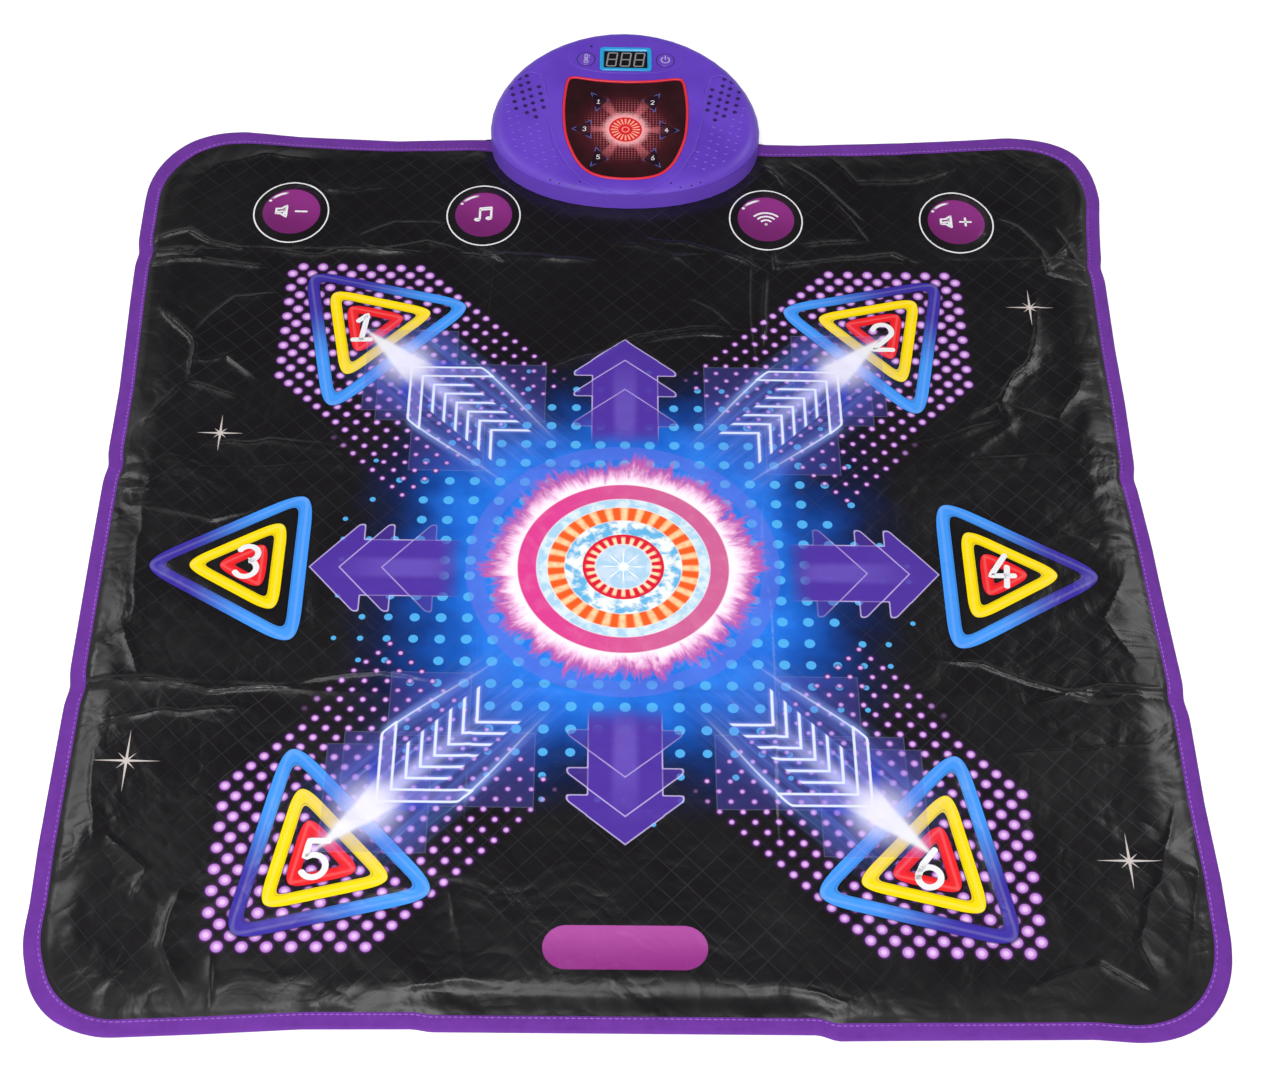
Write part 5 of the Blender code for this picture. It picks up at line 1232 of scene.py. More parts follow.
# The printed sheet and its ten pads, cut from one surface so that their edges meet.
def buildSheet(look):
    whole = matPlan(14)
    outlines = [outline for _, outline in places.values()]
    fine = sheetPlan["creaseStep"]
    rows = [foldAt + k * fine / 2 for k in range(-3, 4)]
    rows += [place + k * fine for place, _, _ in creases["acrossY"] for k in range(-6, 7)]
    columns = [place + k * fine for place, _, _ in creases["alongX"] for k in range(-4, 5)]
    plan, faces = planMesh([whole, *outlines], sheetPlan["step"], rows, columns, foldPoints())
    x, y = plan.T
    say("sheet plan of %d points" % len(plan))
    height = sheetHeight(x, y)
    wx, wy = warped(x, y)
    points = np.stack([wx, wy, height], 1)
    normals = vertexNormals(points, faces)
    middle = plan[faces].mean(1)
    owner = np.full(len(faces), -1)
    for k, (_, outline) in enumerate(places.values()):
        owner[insidePlan(middle[:, 0], middle[:, 1], outline)] = k

    used, own = trimmed(points, faces[owner < 0])
    main = newPiece("printedSheet", points[used], own, look, plan[used], normals[used])
    cut = warpedPlan(whole)
    area = polyArea(cut) - sum(polyArea(warpedPlan(outline)) for outline in outlines)
    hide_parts("rear_top_sheet", "front_top_sheet")
    films = ["rear_upper_film", "front_upper_film"]
    spreadOf(cut)
    acrossFold(main, 0.0048, 0.0008)
    for k, (name, (panel, outline)) in enumerate(places.items()):
        used, own = trimmed(points, faces[owner == k])
        skin = newPiece("skin_" + name, points[used], own, look, plan[used], normals[used])
        low = float(points[used][:, 2].min())
        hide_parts(name)
        film = films[0] if panel == panelRear else films[1]
        cut = warpedPlan(outline)
        spreadOf(cut)
        polyArea(cut)
        onPad(skin, name, low)


def onPad(piece, name, low):
    # the rim of a pad's skin or print stays with the sheet, and its crown goes down with the pad
    top = low + looseVinyl["padCrown"] * 0.8
    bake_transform(piece, places[name][0], padBodies[name], start=(0.0, 0.0, low), end=(0.0, 0.0, top))


def warpedPlan(outline):
    return list(zip(*warped(*np.array(outline).T)))


def spreadOf(outline):
    # the rectangle that a sheet of this outline is cut from
    return tuple(float(max(p[i] for p in outline) - min(p[i] for p in outline)) for i in (0, 1))


def polyArea(points):
    return abs(sum(a[0] * b[1] - b[0] * a[1] for a, b in zip(points, points[1:] + points[:1]))) / 2


# Binding tape: one strip swept round the edge of the mat.
tape = {
    "width": 0.0135, "rearMore": 0.45, "turnIn": 0.004, "gap": 0.00035, "puff": 0.0007, "step": 0.0045,
    "edgeZ": 0.0016, "faceZ": 0.0027, "rimZ": 0.0030, "underConsoleZ": 0.0036,
}


def edgePath(step):
    # points round the mat with their outward directions and the length so far
    path = []
    halfX, halfY, corner = mat["halfX"], mat["halfY"], mat["corner"]
    turns = round(math.pi / 2 * corner / step)
    for quarter, (sx, sy) in enumerate(((1, 1), (-1, 1), (-1, -1), (1, -1))):
        a = math.pi / 2 * quarter
        centre = (sx * (halfX - corner), sy * (halfY - corner) + mat["shiftY"])
        for k in range(turns):
            b = a + math.pi / 2 * k / turns
            nx, ny = math.cos(b), math.sin(b)
            path.append((centre[0] + corner * nx, centre[1] + corner * ny, nx, ny))
        b = a + math.pi / 2
        nx, ny = math.cos(b), math.sin(b)
        start = (centre[0] + corner * nx, centre[1] + corner * ny)
        long = 2 * ((halfX if quarter % 2 == 0 else halfY) - corner)
        dx, dy = -ny, nx
        count = round(long / step)
        stops = [long * k / count for k in range(count)]
        if quarter % 2:
            # both sides get close points at the fold
            at = (start[1] - foldAt) if dy < 0 else (foldAt - start[1])
            close = {round(at + d, 6) for d in (-0.002, -0.0004, 0.0, 0.0004, 0.002)}
            stops = sorted({round(s, 6) for s in stops if abs(s - at) > 0.0025} | close)
        path += [(start[0] + dx * s, start[1] + dy * s, nx, ny) for s in stops]
    return np.array(path)


def tapeGrow(ny):
    # more of the strip shows along the rear edge
    return 1 + tape["rearMore"] * np.clip(ny, 0, 1)


def buildTape(look):
    path = edgePath(tape["step"])
    width = tape["width"]
    side = [0.0008, 0.0025, width * 0.2, width * 0.45, width * 0.72]
    across = [width, *side[::-1], 0.0, *side, width * 0.94, width]
    middle, last = len(side) + 1, len(across) - 1
    px, py, nx, ny = path.T
    total = np.concatenate([[0], np.cumsum(np.hypot(np.diff(px), np.diff(py)))])
    points, flat = [], []
    grow = tapeGrow(ny)
    for k, inward in enumerate(across):
        x, y = px - nx * inward * grow, py - ny * inward * grow
        # from under the mat round the edge and back over it
        if k < middle:
            z = np.full(len(x), 0.0)
        elif k == middle:
            z = np.full(len(x), tape["edgeZ"])
        elif k == last:
            z = sheetHeight(x, y) + 0.0001
        else:
            gather = latticeNoise(total / 0.009, total * 0 + k * 0.11, 61)
            gather = gather + 0.6 * latticeNoise(total / 0.031, total * 0 + k * 0.2, 67)
            bulge = math.sin(math.pi * min(1.0, inward / width)) ** 0.6
            lift = sum(np.exp(-((y - c[0]) / 0.006) ** 2) for c in creases["acrossY"]) * (np.abs(nx) > 0.9)
            z = tape["faceZ"] + tape["puff"] * bulge + 0.0004 * gather * bulge + 0.0008 * lift
            z = np.maximum(z, sheetHeight(x, y) + tape["gap"])
            z = np.minimum(z, tape["rimZ"]) if k == middle + 1 else z
        under = smooth(consoleDepth(x, y), -0.0010, 0.0050)
        z = np.where(z > mat["edgeZ"], z * (1 - under) + tape["underConsoleZ"] * under, z)
        wx, wy = warped(x, y)
        points.append(np.stack([wx, wy, z], 1))
        flat.append(np.stack([total, np.full(len(x), inward if k > middle else -inward)], 1))
    points, flat = np.array(points), np.array(flat)
    n = len(path)
    faces = [(k * n + i, k * n + (i + 1) % n, (k + 1) * n + (i + 1) % n, (k + 1) * n + i)
             for k in range(last) for i in range(n)]
    piece = newPiece("edgeBinding", points.reshape(-1, 3), faces, look, flat.reshape(-1, 2))
    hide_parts("rear_edge_tape", "front_edge_tape")
    length = float(total[-1])
    acrossFold(piece, 0.0016, 0.0003)
    say("binding %.2f m long" % length)


stitch = {"inward": 0.0115, "pitch": 0.0046, "long": 0.0034, "wide": 0.00055, "high": 0.00035}


def buildStitches(look):
    path = edgePath(0.0010)
    px, py, nx, ny = path.T
    grow = tapeGrow(ny)
    x, y = px - nx * stitch["inward"] * grow, py - ny * stitch["inward"] * grow
    length = np.concatenate([[0], np.cumsum(np.hypot(np.diff(x), np.diff(y)))])
    points, faces = [], []
    for k in range(int(length[-1] / stitch["pitch"])):
        ends = [k * stitch["pitch"] + d * stitch["long"] for d in (0.0, 0.25, 0.5, 0.75, 1.0)]
        cx, cy = np.interp(ends, length, x), np.interp(ends, length, y)
        sx, sy = np.interp(ends, length, nx), np.interp(ends, length, ny)
        under = consoleDepth(cx, cy)
        if under.max() > -0.001:
            continue
        bulge = math.sin(math.pi * stitch["inward"] / tape["width"]) ** 0.6
        base = np.maximum(tape["faceZ"] + tape["puff"] * bulge + 0.0002, sheetHeight(cx, cy) + 0.0006)
        first = len(points)
        for i, share in enumerate((0.15, 0.85, 1.0, 0.85, 0.15)):
            wide = stitch["wide"] * (0.5 + 0.5 * share)
            for side, lift in ((-1, 0.0), (0, 1.0), (1, 0.0)):
                qx, qy = warped(cx[i] + sx[i] * wide * side, cy[i] + sy[i] * wide * side)
                z = base[i] - 0.0003 + (stitch["high"] * lift + 0.0002) * share
                points.append((float(qx), float(qy), float(z)))
        for a in range(first, first + 12, 3):
            faces += [(a + 1, a + 4, a + 3, a), (a + 2, a + 5, a + 4, a + 1)]
    piece = newPiece("bindingStitches", points, faces, look)
    acrossFold(piece, 0.0030, 0.0003)


backing = {"step": 0.012, "thick": 0.0006, "lowZ": 0.0001, "rimRise": 0.0008, "underConsoleZ": 0.0021}


def buildBacking(look):
    outline = matPlan(12)
    half = (0.0004, 0.0014, 0.0030, 0.0060, 0.0110)
    rows = [foldAt + off for off in (0.0, *half, *(-off for off in half))]
    plan, faces = planMesh([outline], backing["step"], rows)
    x, y = plan.T
    depth = planDepth(x, y)
    margin = smooth(depth, 0.036, 0.022)
    low = backing["lowZ"] + backing["rimRise"] * margin
    under = smooth(consoleDepth(x, y), -0.004, 0.008)
    low = low * (1 - under) + backing["underConsoleZ"] * under
    wx, wy = warped(x, y)
    points = np.concatenate([np.stack([wx, wy, z], 1) for z in (low + backing["thick"], low)])
    count = len(plan)
    both = [tuple(f) for f in faces] + [tuple(count + i for i in f[::-1]) for f in faces]
    border = {}
    for f in faces:
        for a, b in ((f[0], f[1]), (f[1], f[2]), (f[2], f[0])):
            if border.pop((b, a), None) is None:
                border[(a, b)] = True
    both += [(b, a, count + a, count + b) for a, b in border]
    piece = newPiece("backingSheet", points, both, look, np.concatenate([plan, plan]), smoothShade=False)
    cut = warpedPlan(outline)
    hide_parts("rear_back_sheet", "front_back_sheet")
    spreadOf(cut)
    polyArea(cut)
    acrossFold(piece, 0.0003, 0.0003)


# Rigid pieces: the CAD form with softened edges and its own finish.
def dressed(name, look, bevel, angle):
    piece = bpy.data.objects.new("moulded_" + name, nodes[name].data.copy())
    bpy.context.scene.collection.objects.link(piece)
    mesh = piece.data
    work = bmesh.new()
    work.from_mesh(mesh)
    bmesh.ops.remove_doubles(work, verts=work.verts, dist=1e-6)
    bmesh.ops.dissolve_limit(work, angle_limit=math.radians(0.6), verts=work.verts, edges=work.edges)
    work.to_mesh(mesh)
    work.free()
    for key in list(mesh.attributes.keys()):
        if key.startswith("_FK"):
            mesh.attributes.remove(mesh.attributes[key])
    mesh.shade_smooth()
    mesh.set_sharp_from_angle(angle=math.radians(angle))
    mesh.materials.clear()
    mesh.materials.append(look)
    if bevel:
        edge = piece.modifiers.new("softEdge", "BEVEL")
        edge.width = bevel
        edge.segments = 2
        edge.limit_method = "ANGLE"
        edge.angle_limit = math.radians(angle)
        edge.harden_normals = True
        edge.use_clamp_overlap = True
    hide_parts(name)
    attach(piece, bodyOf[name])
    return piece


bodyOf = {name: nodes[name]["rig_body"] for name in nodes}


slopeCos, slopeSin = math.cos(slope["tilt"]), math.sin(slope["tilt"])


def onSlope(x, v, w=0.0):
    # the point that lies v along the console's sloping face and w over it
    return Vector((x, slope["y"] + v * slopeCos - w * slopeSin, slope["z"] + v * slopeSin + w * slopeCos))


def slopeCoords(g):
    # place on the console's sloping face: across and along the slope
    x, y, z = g.parts(g.objectCoords())
    dy, dz = y - slope["y"], z - slope["z"]
    return x, dy * slopeCos + dz * slopeSin


caseInk = inksOf({
    "deep": (92, 55, 180), "plain": (101, 63, 194), "dust": (176, 160, 214),
})


def caseMaterial():
    look = newMaterial("purpleCase")
    g = Graph(look.node_tree)
    place = g.objectCoords()
    height, wear = g.use(groups["grain"], Place=place, Scale=1500.0, Blotch=16.0).values()
    shade = g.mix(g.step(wear, 0.3, 0.7), caseInk["deep"], caseInk["plain"])
    dust = g.use(groups["dust"], Place=place, Amount=0.14)["Mask"]
    shade = g.mix(dust, shade, caseInk["dust"])
    g.finish(shade, wear, (0.36, 0.46), 0.45, g.bump(height, 0.10, 0.0002))
    return look


# Printed window: its middle, its dots' pitch, and the cores of the outlined places round the numbers.
window = {
    "v": -0.0115, "pitch": 0.0031, "hub": 0.0034, "disc": 0.0165, "coreRadius": 0.0008,
    "corner": ((0.0335, 0.0480), (0.0185, 0.0400), (0.0290, 0.0265)),
    "side": ((0.0520, 0.0), (0.0355, 0.0105), (0.0355, -0.0105)),
    "numbers": {
        1: (-0.0272, 0.0375), 2: (0.0272, 0.0375), 5: (-0.0272, -0.0375), 6: (0.0272, -0.0375),
        3: (-0.0412, 0.0), 4: (0.0412, 0.0),
    },
    "numberHigh": 0.0054, "numberWide": 0.0007, "lean": 0.05, "lift": 0.00008,
}
windowInk = inksOf({
    "rim": (40, 20, 24), "middle": (92, 30, 40), "cloud": (66, 28, 34), "ray": (190, 100, 108),
    "dot": (226, 120, 128), "glow": (240, 168, 172), "disc": (214, 36, 44), "bar": (252, 172, 150),
    "hub": (250, 150, 140), "cornerFill": (20, 18, 34), "cornerLine": (96, 104, 176),
})


def windowMaterial():
    # printed panel under a clear gloss: maroon with a glowing ring, rays, dots and six outlined corners
    look = newMaterial("printedWindow")
    g = Graph(look.node_tree)
    dx, v = slopeCoords(g)
    dy = v - window["v"]
    place = g.objectCoords()
    far = g.length(dx, dy)
    turn = g.math("ARCTAN2", dy, dx)
    cloud = g.noise(place, 40.0, 3.0)
    fine = g.noise(g.vector(dx * 420.0, dy * 420.0), 1.0, 3.0, 0.6, 1.0)
    g.ground = g.mix(g.step(far, 0.062, 0.012), windowInk["rim"], windowInk["middle"])
    g.paint(g.step(cloud, 0.3, 0.75), windowInk["cloud"], 0.35)
    rays = g.step(g.math("COSINE", turn * 6.0), 0.45, 0.95) * g.step(far, 0.052, 0.020)
    g.paint(rays * g.step(fine, 0.20, 0.55), windowInk["ray"], 0.90)
    dots = g.use(groups["dots"], X=dx, Y=dy, PitchX=window["pitch"], PitchY=window["pitch"])["Distance"]
    fade = g.step(far + (cloud - 0.5) * 0.02, 0.046, 0.026)
    g.paint(g.step(dots, 0.0011, 0.0006) * fade, windowInk["dot"], 0.55)
    g.paint(g.step(far + (fine - 0.5) * 0.010, 0.0265, 0.0170), windowInk["glow"])
    bars = g.step(g.math("COSINE", turn * 20.0), -0.1, 0.5) * g.step(abs(far - 0.0108), 0.0042, 0.0030)
    g.paint(g.inside(far, window["disc"], 0.0004), g.mix(bars, windowInk["disc"], windowInk["bar"]))
    g.paint(g.line(far - window["hub"], 0.0012, 0.0004), windowInk["hub"])
    # blue corners round each number
    ax = abs(dx)
    for core, high in ((window["corner"], abs(dy)), (window["side"], dy)):
        edges = [ax * nx + high * ny - rim for nx, ny, rim in planes(core, window["coreRadius"])]
        shape = g.high(g.high(edges[0], edges[1]), edges[2])
        middleX, middleY = (sum(p[i] for p in core) / 3 for i in (0, 1))
        tip = g.step(g.length(ax - middleX, high - middleY), 0.0078, 0.0100)
        g.paint(g.inside(shape), windowInk["cornerFill"], 0.7)
        g.paint(g.line(shape, 0.0007, 0.0002) * tip, windowInk["cornerLine"])
    dust = g.use(groups["dust"], Place=place, Amount=0.5)["Mask"]
    g.finish(g.ground, cloud, (0.14, 0.24), 0.35, g.bump(dust, 0.10, 0.0002))
    return look


# Flat printed or filled marks, draped over whatever height they lie on.
def arcPoints(cx, cy, radius, start, end, steps, high=None):
    angles = (math.radians(start + (end - start) * k / steps) for k in range(steps + 1))
    return [(cx + radius * math.cos(a), cy + (high or radius) * math.sin(a)) for a in angles]


# Each digit in a box 0.6 wide and 1 high, as strokes.
digits = {
    1: ([(0.12, 0.74), (0.34, 0.98), (0.30, 0.5), (0.26, 0.02)], [(0.04, 0.0), (0.50, 0.02)]),
    2: (arcPoints(0.32, 0.70, 0.26, 165, -30, 16, 0.28) + [(0.30, 0.26), (0.02, 0.0), (0.58, 0.0)],),
    3: (arcPoints(0.30, 0.75, 0.24, 150, -80, 14) + arcPoints(0.28, 0.27, 0.27, 82, -150, 16),),
    4: ([(0.40, 1.0), (0.02, 0.34), (0.60, 0.34)], [(0.44, 0.62), (0.40, 0.0)]),
    5: ([(0.56, 1.0), (0.14, 1.0), (0.08, 0.56)] + arcPoints(0.28, 0.32, 0.28, 128, -145, 18, 0.30),),
    6: ([(0.44, 1.0), (0.16, 0.62), (0.04, 0.32)], arcPoints(0.29, 0.27, 0.26, 180, -180, 24, 0.27)),
}


def strokeStrip(points, width):
    # a ribbon with round ends along a line of points; returns 2-D points and faces
    ring = [points[0]]
    for a, b in zip(points, points[1:]):
        parts = max(1, round(math.dist(a, b) / (width * 0.35)))
        shares = [k / parts for k in range(1, parts + 1)]
        ring += [(a[0] + (b[0] - a[0]) * share, a[1] + (b[1] - a[1]) * share) for share in shares]
    line = [Vector(p) for p in ring]
    last = len(line) - 1
    directions = [(line[min(i + 1, last)] - line[max(i - 1, 0)]).normalized() for i in range(last + 1)]
    half = width / 2

    def cap(middle, ahead, side, turns):
        return [(middle + ahead * side * half * math.cos(a), ahead, half * (math.sin(a) + 0.05))
                for a in map(math.radians, turns)]

    rows = cap(line[0], directions[0], -1, (0, 30, 60)) + [(p, d, half) for p, d in zip(line, directions)]
    rows += cap(line[last], directions[last], 1, (60, 30, 0))
    out = [tuple(p + Vector((-d.y, d.x)) * reach * share) for p, d, reach in rows for share in (-1, 0, 1)]
    faces = [(a + 1, a, a + 3, a + 4) for i in range(len(rows) - 1) for a in (i * 3, i * 3 + 1)]
    return out, faces


def strokeMesh(strokes, width):
    points, faces = [], []
    for stroke in strokes:
        more, quads = strokeStrip(stroke, width)
        faces += [tuple(i + len(points) for i in f) for f in quads]
        points += more
    return np.array(points), faces


def padMark(name, pad, strokes, width, look):
    # print on a pad, draped over the sheet
    flat, faces = strokeMesh(strokes, width)
    x, y = flat.T
    wx, wy = warped(x, y)
    piece = newPiece(name, np.stack([wx, wy, sheetHeight(x, y) + numberPlan["lift"]], 1), faces, look, flat)
    onPad(piece, pad, mat["topZ"])


numberPlan = {
    "high": 0.0330, "width": 0.0052, "lean": 0.03, "lift": 0.00016, "symbolWidth": 0.0022,
    "at": {1: (-0.244, 0.283), 2: (0.242, 0.280), 3: (-0.324, 0.004), 4: (0.326, 0.004), 5: (-0.241, -0.287),
           6: (0.238, -0.290)},
}


def digitStrokes(number, cx, cy, high, lean):
    wide = high * 1.05
    return [[(cx + (px - 0.31 + (py - 0.5) * lean) * wide, cy + (py - 0.5) * high) for px, py in stroke]
            for stroke in digits[number]]


def buildNumbers(look):
    for number, (px, py) in numberPlan["at"].items():
        strokes = digitStrokes(number, px, py - printPlan["shiftY"], numberPlan["high"], numberPlan["lean"])
        padMark("printedNumber_%d" % number, "step_pad_%d" % number, strokes, numberPlan["width"], look)


# Strokes of the menu pads' signs, from each pad's middle.
symbols = {
    "speaker": [[(-0.0150, -0.0035), (-0.0150, 0.0035), (-0.0105, 0.0035), (-0.0050, 0.0080),
                 (-0.0050, -0.0080), (-0.0105, -0.0035), (-0.0150, -0.0035)],
                [(-0.0128, -0.0010), (-0.0075, 0.0), (-0.0075, 0.0035), (-0.0072, -0.0035)]],
    "minus": [[(0.0040, 0.0), (0.0145, 0.0)]],
    "plus": [[(0.0040, 0.0), (0.0145, 0.0)], [(0.0092, -0.0052), (0.0092, 0.0052)]],
    "note": [[(-0.0035, -0.0070), (-0.0035, 0.0085), (0.0075, 0.0100), (0.0075, -0.0050)],
             [(-0.0035, 0.0060), (0.0075, 0.0075)], arcPoints(-0.0058, -0.0075, 0.0022, 0, 360, 10, 0.0014),
             arcPoints(0.0052, -0.0055, 0.0022, 0, 360, 10, 0.0014)],
    "waves": [arcPoints(0.0, -0.0075, 0.0006, 0, 360, 6), arcPoints(0.0, -0.0075, 0.0060, 45, 135, 8),
              arcPoints(0.0, -0.0075, 0.0110, 45, 135, 10), arcPoints(0.0, -0.0075, 0.0160, 45, 135, 12)],
}
padSigns = {
    "volume_down_pad": ("speaker", "minus"), "mode_pad": ("note",), "wireless_pad": ("waves",),
    "volume_up_pad": ("speaker", "plus"),
}


def buildSymbols(look):
    y = menuPad["y"] + mat["shiftY"]
    for name, marks in padSigns.items():
        x = menuAt[name]
        strokes = [[(x + px, y + py) for px, py in stroke] for mark in marks for stroke in symbols[mark]]
        padMark("printedSymbol_" + name, name, strokes, numberPlan["symbolWidth"], look)


def topOf(name):
    # highest point of a node over the console's slope
    co = np.zeros(len(nodes[name].data.vertices) * 3)
    nodes[name].data.vertices.foreach_get("co", co)
    y, z = co.reshape(-1, 3).T[1:]
    return float(((z - slope["z"]) * slopeCos - (y - slope["y"]) * slopeSin).max())


def slopeMark(name, node, strokes, width, lift, look):
    # print on top of a piece of the console
    flat, faces = strokeMesh(strokes, width)
    height = topOf(node) + lift
    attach(newPiece(name, [onSlope(x, v, height) for x, v in flat], faces, look, flat), bodyOf[node])


# Signs on the buttons, and the display's unlit bars; x and v are on the console's slope.
signPlan = {
    "x": 0.0406, "v": 0.0838, "ring": 0.0042, "powerWide": 0.0013, "levelWide": 0.0010, "lift": 0.00006,
    # gap: inner and outer radius of the ring of painted shade round each button
    "tube": 0.0012, "bulb": 0.0021, "gap": (0.0089, 0.0097),
}
displayPlan = {"pitch": 0.0140, "halfX": 0.0046, "halfV": 0.0092, "bar": 0.0014, "lean": 0.12, "v": 0.0848}


def buttonSigns():
    # a power sign, and a thermometer-like level sign
    x, v, r = signPlan["x"], signPlan["v"], signPlan["ring"]
    power = [arcPoints(x, v, r, 125, 415, 22), [(x, v + 0.2 * r), (x, v + 1.35 * r)]]
    tube, top = signPlan["tube"], arcPoints(-x, v + 0.0052, signPlan["tube"], 180, 0, 6)
    level = [[(-x - tube, v - 0.0022), (-x - tube, v + 0.0052), *top, (-x + tube, v - 0.0022)],
             arcPoints(-x, v - 0.0040, signPlan["bulb"], 125, 415, 14), [(-x, v - 0.0036), (-x, v + 0.0014)]]
    level += [[(-x + 0.0027, v + up), (-x + 0.0036, v + up)] for up in (0.0046, 0.0022)]
    return power, level


def displayBars():
    # three digits of seven bars each
    strokes = []
    lean, level = displayPlan["lean"], displayPlan["v"]
    a, b = displayPlan["halfX"], displayPlan["halfV"]
    bars = [((-a, v), (a, v)) for v in (-b, 0.0, b)]
    bars += [((side, v), (side, v + b)) for side in (-a, a) for v in (-b, 0.0)]
    for middle in (-displayPlan["pitch"], 0.0, displayPlan["pitch"]):
        for bar in bars:
            start, end = (Vector((middle + x + v * lean, level + v)) for x, v in bar)
            gap = (end - start).normalized() * displayPlan["bar"] * 0.55
            strokes.append([tuple(start + gap), tuple(end - gap)])
    return strokes


def buildConsoleMarks(white, signGrey, barGrey):
    power, level = buttonSigns()
    lift = signPlan["lift"]
    slopeMark("powerSign", "power_button", power, signPlan["powerWide"], lift, signGrey)
    slopeMark("levelSign", "level_button", level, signPlan["levelWide"], lift, signGrey)
    slopeMark("displayBars", "display_module", displayBars(), displayPlan["bar"] * 0.95, lift, barGrey)
    numbers = []
    for number, (x, v) in window["numbers"].items():
        numbers += digitStrokes(number, x, window["v"] + v, window["numberHigh"], window["lean"])
    slopeMark("windowNumbers", "panel_window", numbers, window["numberWide"], window["lift"], white)


def build():
    groups.update(grain=grainGroup(), dust=dustGroup(), weave=weaveGroup())
    groups.update(sparkle=glintGroup(), dots=dotGroup())
    addCamera()
    addLights()
    addFloor()
    say("stage set")
    vinyl = sheetMaterial()
    buildSheet(vinyl)
    say("printed sheet and pads")
    buildTape(tapeMaterial())
    buildStitches(plainMaterial("stitchThread", (150, 92, 200), 0.7, scale=2400.0, bump=0.3))
    buildBacking(plainMaterial("backingVinyl", (46, 44, 48), 0.62, scale=520.0, bump=0.35))
    say("binding, stitches and backing")
    white = plainMaterial("printWhite", (238, 238, 240), 0.42, bump=0.05, tone=0.94, specular=0.3)
    signGrey = plainMaterial("signGrey", (182, 172, 214), 0.45)
    barGrey = plainMaterial("barGrey", (150, 148, 146), 0.4)
    buildNumbers(white)
    buildSymbols(white)
    made = dressRigid()
    buildConsoleMarks(white, signGrey, barGrey)
    find = caseSurface()
    buildBeads(find, made["case_purple"])
    buildDashes(find, made["case_purple"])
    buildHoleShade(find, made["display_black"])
    buildShadeRings(find, plainMaterial("openingShadow", (44, 24, 92), 0.6))
    say("console dressed")


# Relief moulded into the console's top: a raised line round each wing, rows of dashes, and small holes near
# the rim, drawn as dark discs of painted shade.
relief = {
    "bead": ((-0.1149, 0.0500), (-0.1061, 0.0605), (-0.0975, 0.0661), (-0.0876, 0.0628), (-0.0817, 0.0441),
             (-0.0792, 0.0221), (-0.0776, 0.0045), (-0.0739, -0.0149), (-0.0671, -0.0384), (-0.0562, -0.0616),
             (-0.0417, -0.0802), (-0.0227, -0.0923), (0.0, -0.0959)),
    "beadWide": 0.0022, "beadHigh": 0.0006, "beadStep": 0.003, "beadGap": 0.005,
    "dashLong": 0.0055, "dashWide": 0.0026, "dashHigh": 0.0008, "turn": -18.0,
    "pitch": (0.0092, 0.0094), "slant": (-0.0018, 0.0008), "rim": 0.0135, "dashV": (-0.066, 0.020),
    "grille": {"x": 0.100, "v": 0.0315, "halfX": 0.0180, "halfV": 0.0300, "lean": -0.19},
    # holes: places of the small holes near the rim, where dark discs of painted shade lie
    "holes": ((0.104, -0.067), (0.088, -0.076), (0.074, -0.079), (0.065, -0.083), (0.054, -0.086),
              (0.045, -0.082)),
    # hole: radius of the dark discs of painted shade; sensor: the sensor hole's place and the radii of its
    # ring of painted shade; speakerHole: radii of the rings of painted shade round the speaker holes
    "hole": 0.0009, "sensor": (-0.0354, 0.1022, 0.0006, 0.0017), "speakerHole": (0.0012, 0.0024),
}


def caseSurface():
    # finds the place and the direction of the top shell's outside under a point of the slope
    mesh = nodes["top_shell"].data
    tree = BVHTree.FromPolygons([v.co for v in mesh.vertices], [p.vertices for p in mesh.polygons])
    down = onSlope(0, 0, 0) - onSlope(0, 0, 1)

    def find(x, v):
        place, normal = tree.ray_cast(onSlope(x, v, 0.03), down, 0.08)[:2]
        return (place, normal if normal.dot(down) < 0 else -normal) if place else (None, None)
    return find


def ribs(name, cores, look, wide, high):
    # low rounded ribs, each along a line of points that already lie on the shell
    points, faces = [], []
    share = ((-1.0, -0.15), (-0.6, 0.72), (0.0, 1.0), (0.6, 0.72), (1.0, -0.15))
    for core in cores:
        first = len(points)
        last = len(core) - 1
        for k, (place, normal) in enumerate(core):
            ahead = (core[min(k + 1, last)][0] - core[max(k - 1, 0)][0]).normalized()
            side = normal.cross(ahead).normalized()
            end = 0.12 if k in (0, last) else 0.75 if k in (1, last - 1) else 1.0
            points += [place + side * wide / 2 * a * end + normal * high * (b if b < 0 else b * end)
                       for a, b in share]
        for k in range(last):
            faces += [(i, i + 5, i + 6, i + 1) for i in range(first + k * 5, first + k * 5 + 4)]
    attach(newPiece(name, points, faces, look), bodyOf["top_shell"])


def buildBeads(find, look):
    line = []
    for a, b in zip(relief["bead"], relief["bead"][1:]):
        line += between(a, b, max(1, round(math.dist(a, b) / relief["beadStep"])))
    found = ([find(-sx * x, v) for x, v in line] for sx in (-1, 1))
    cores = [[c for c in core if c[0]] for core in found]
    ribs("wingBead", cores, look, relief["beadWide"], relief["beadHigh"])


def slantedGrid(rows, columns):
    # offsets from the grille's middle, and 1 at the grille's rim
    (pitchX, pitchV), (slantX, slantV), grille = relief["pitch"], relief["slant"], relief["grille"]
    for row in rows:
        for column in columns:
            ox = (column + 0.5) * pitchX + row * slantX
            ov = (row + (column % 2) / 2) * pitchV - column * slantV
            yield ox, ov, ((ox - grille["lean"] * ov) / grille["halfX"]) ** 2 + (ov / grille["halfV"]) ** 2


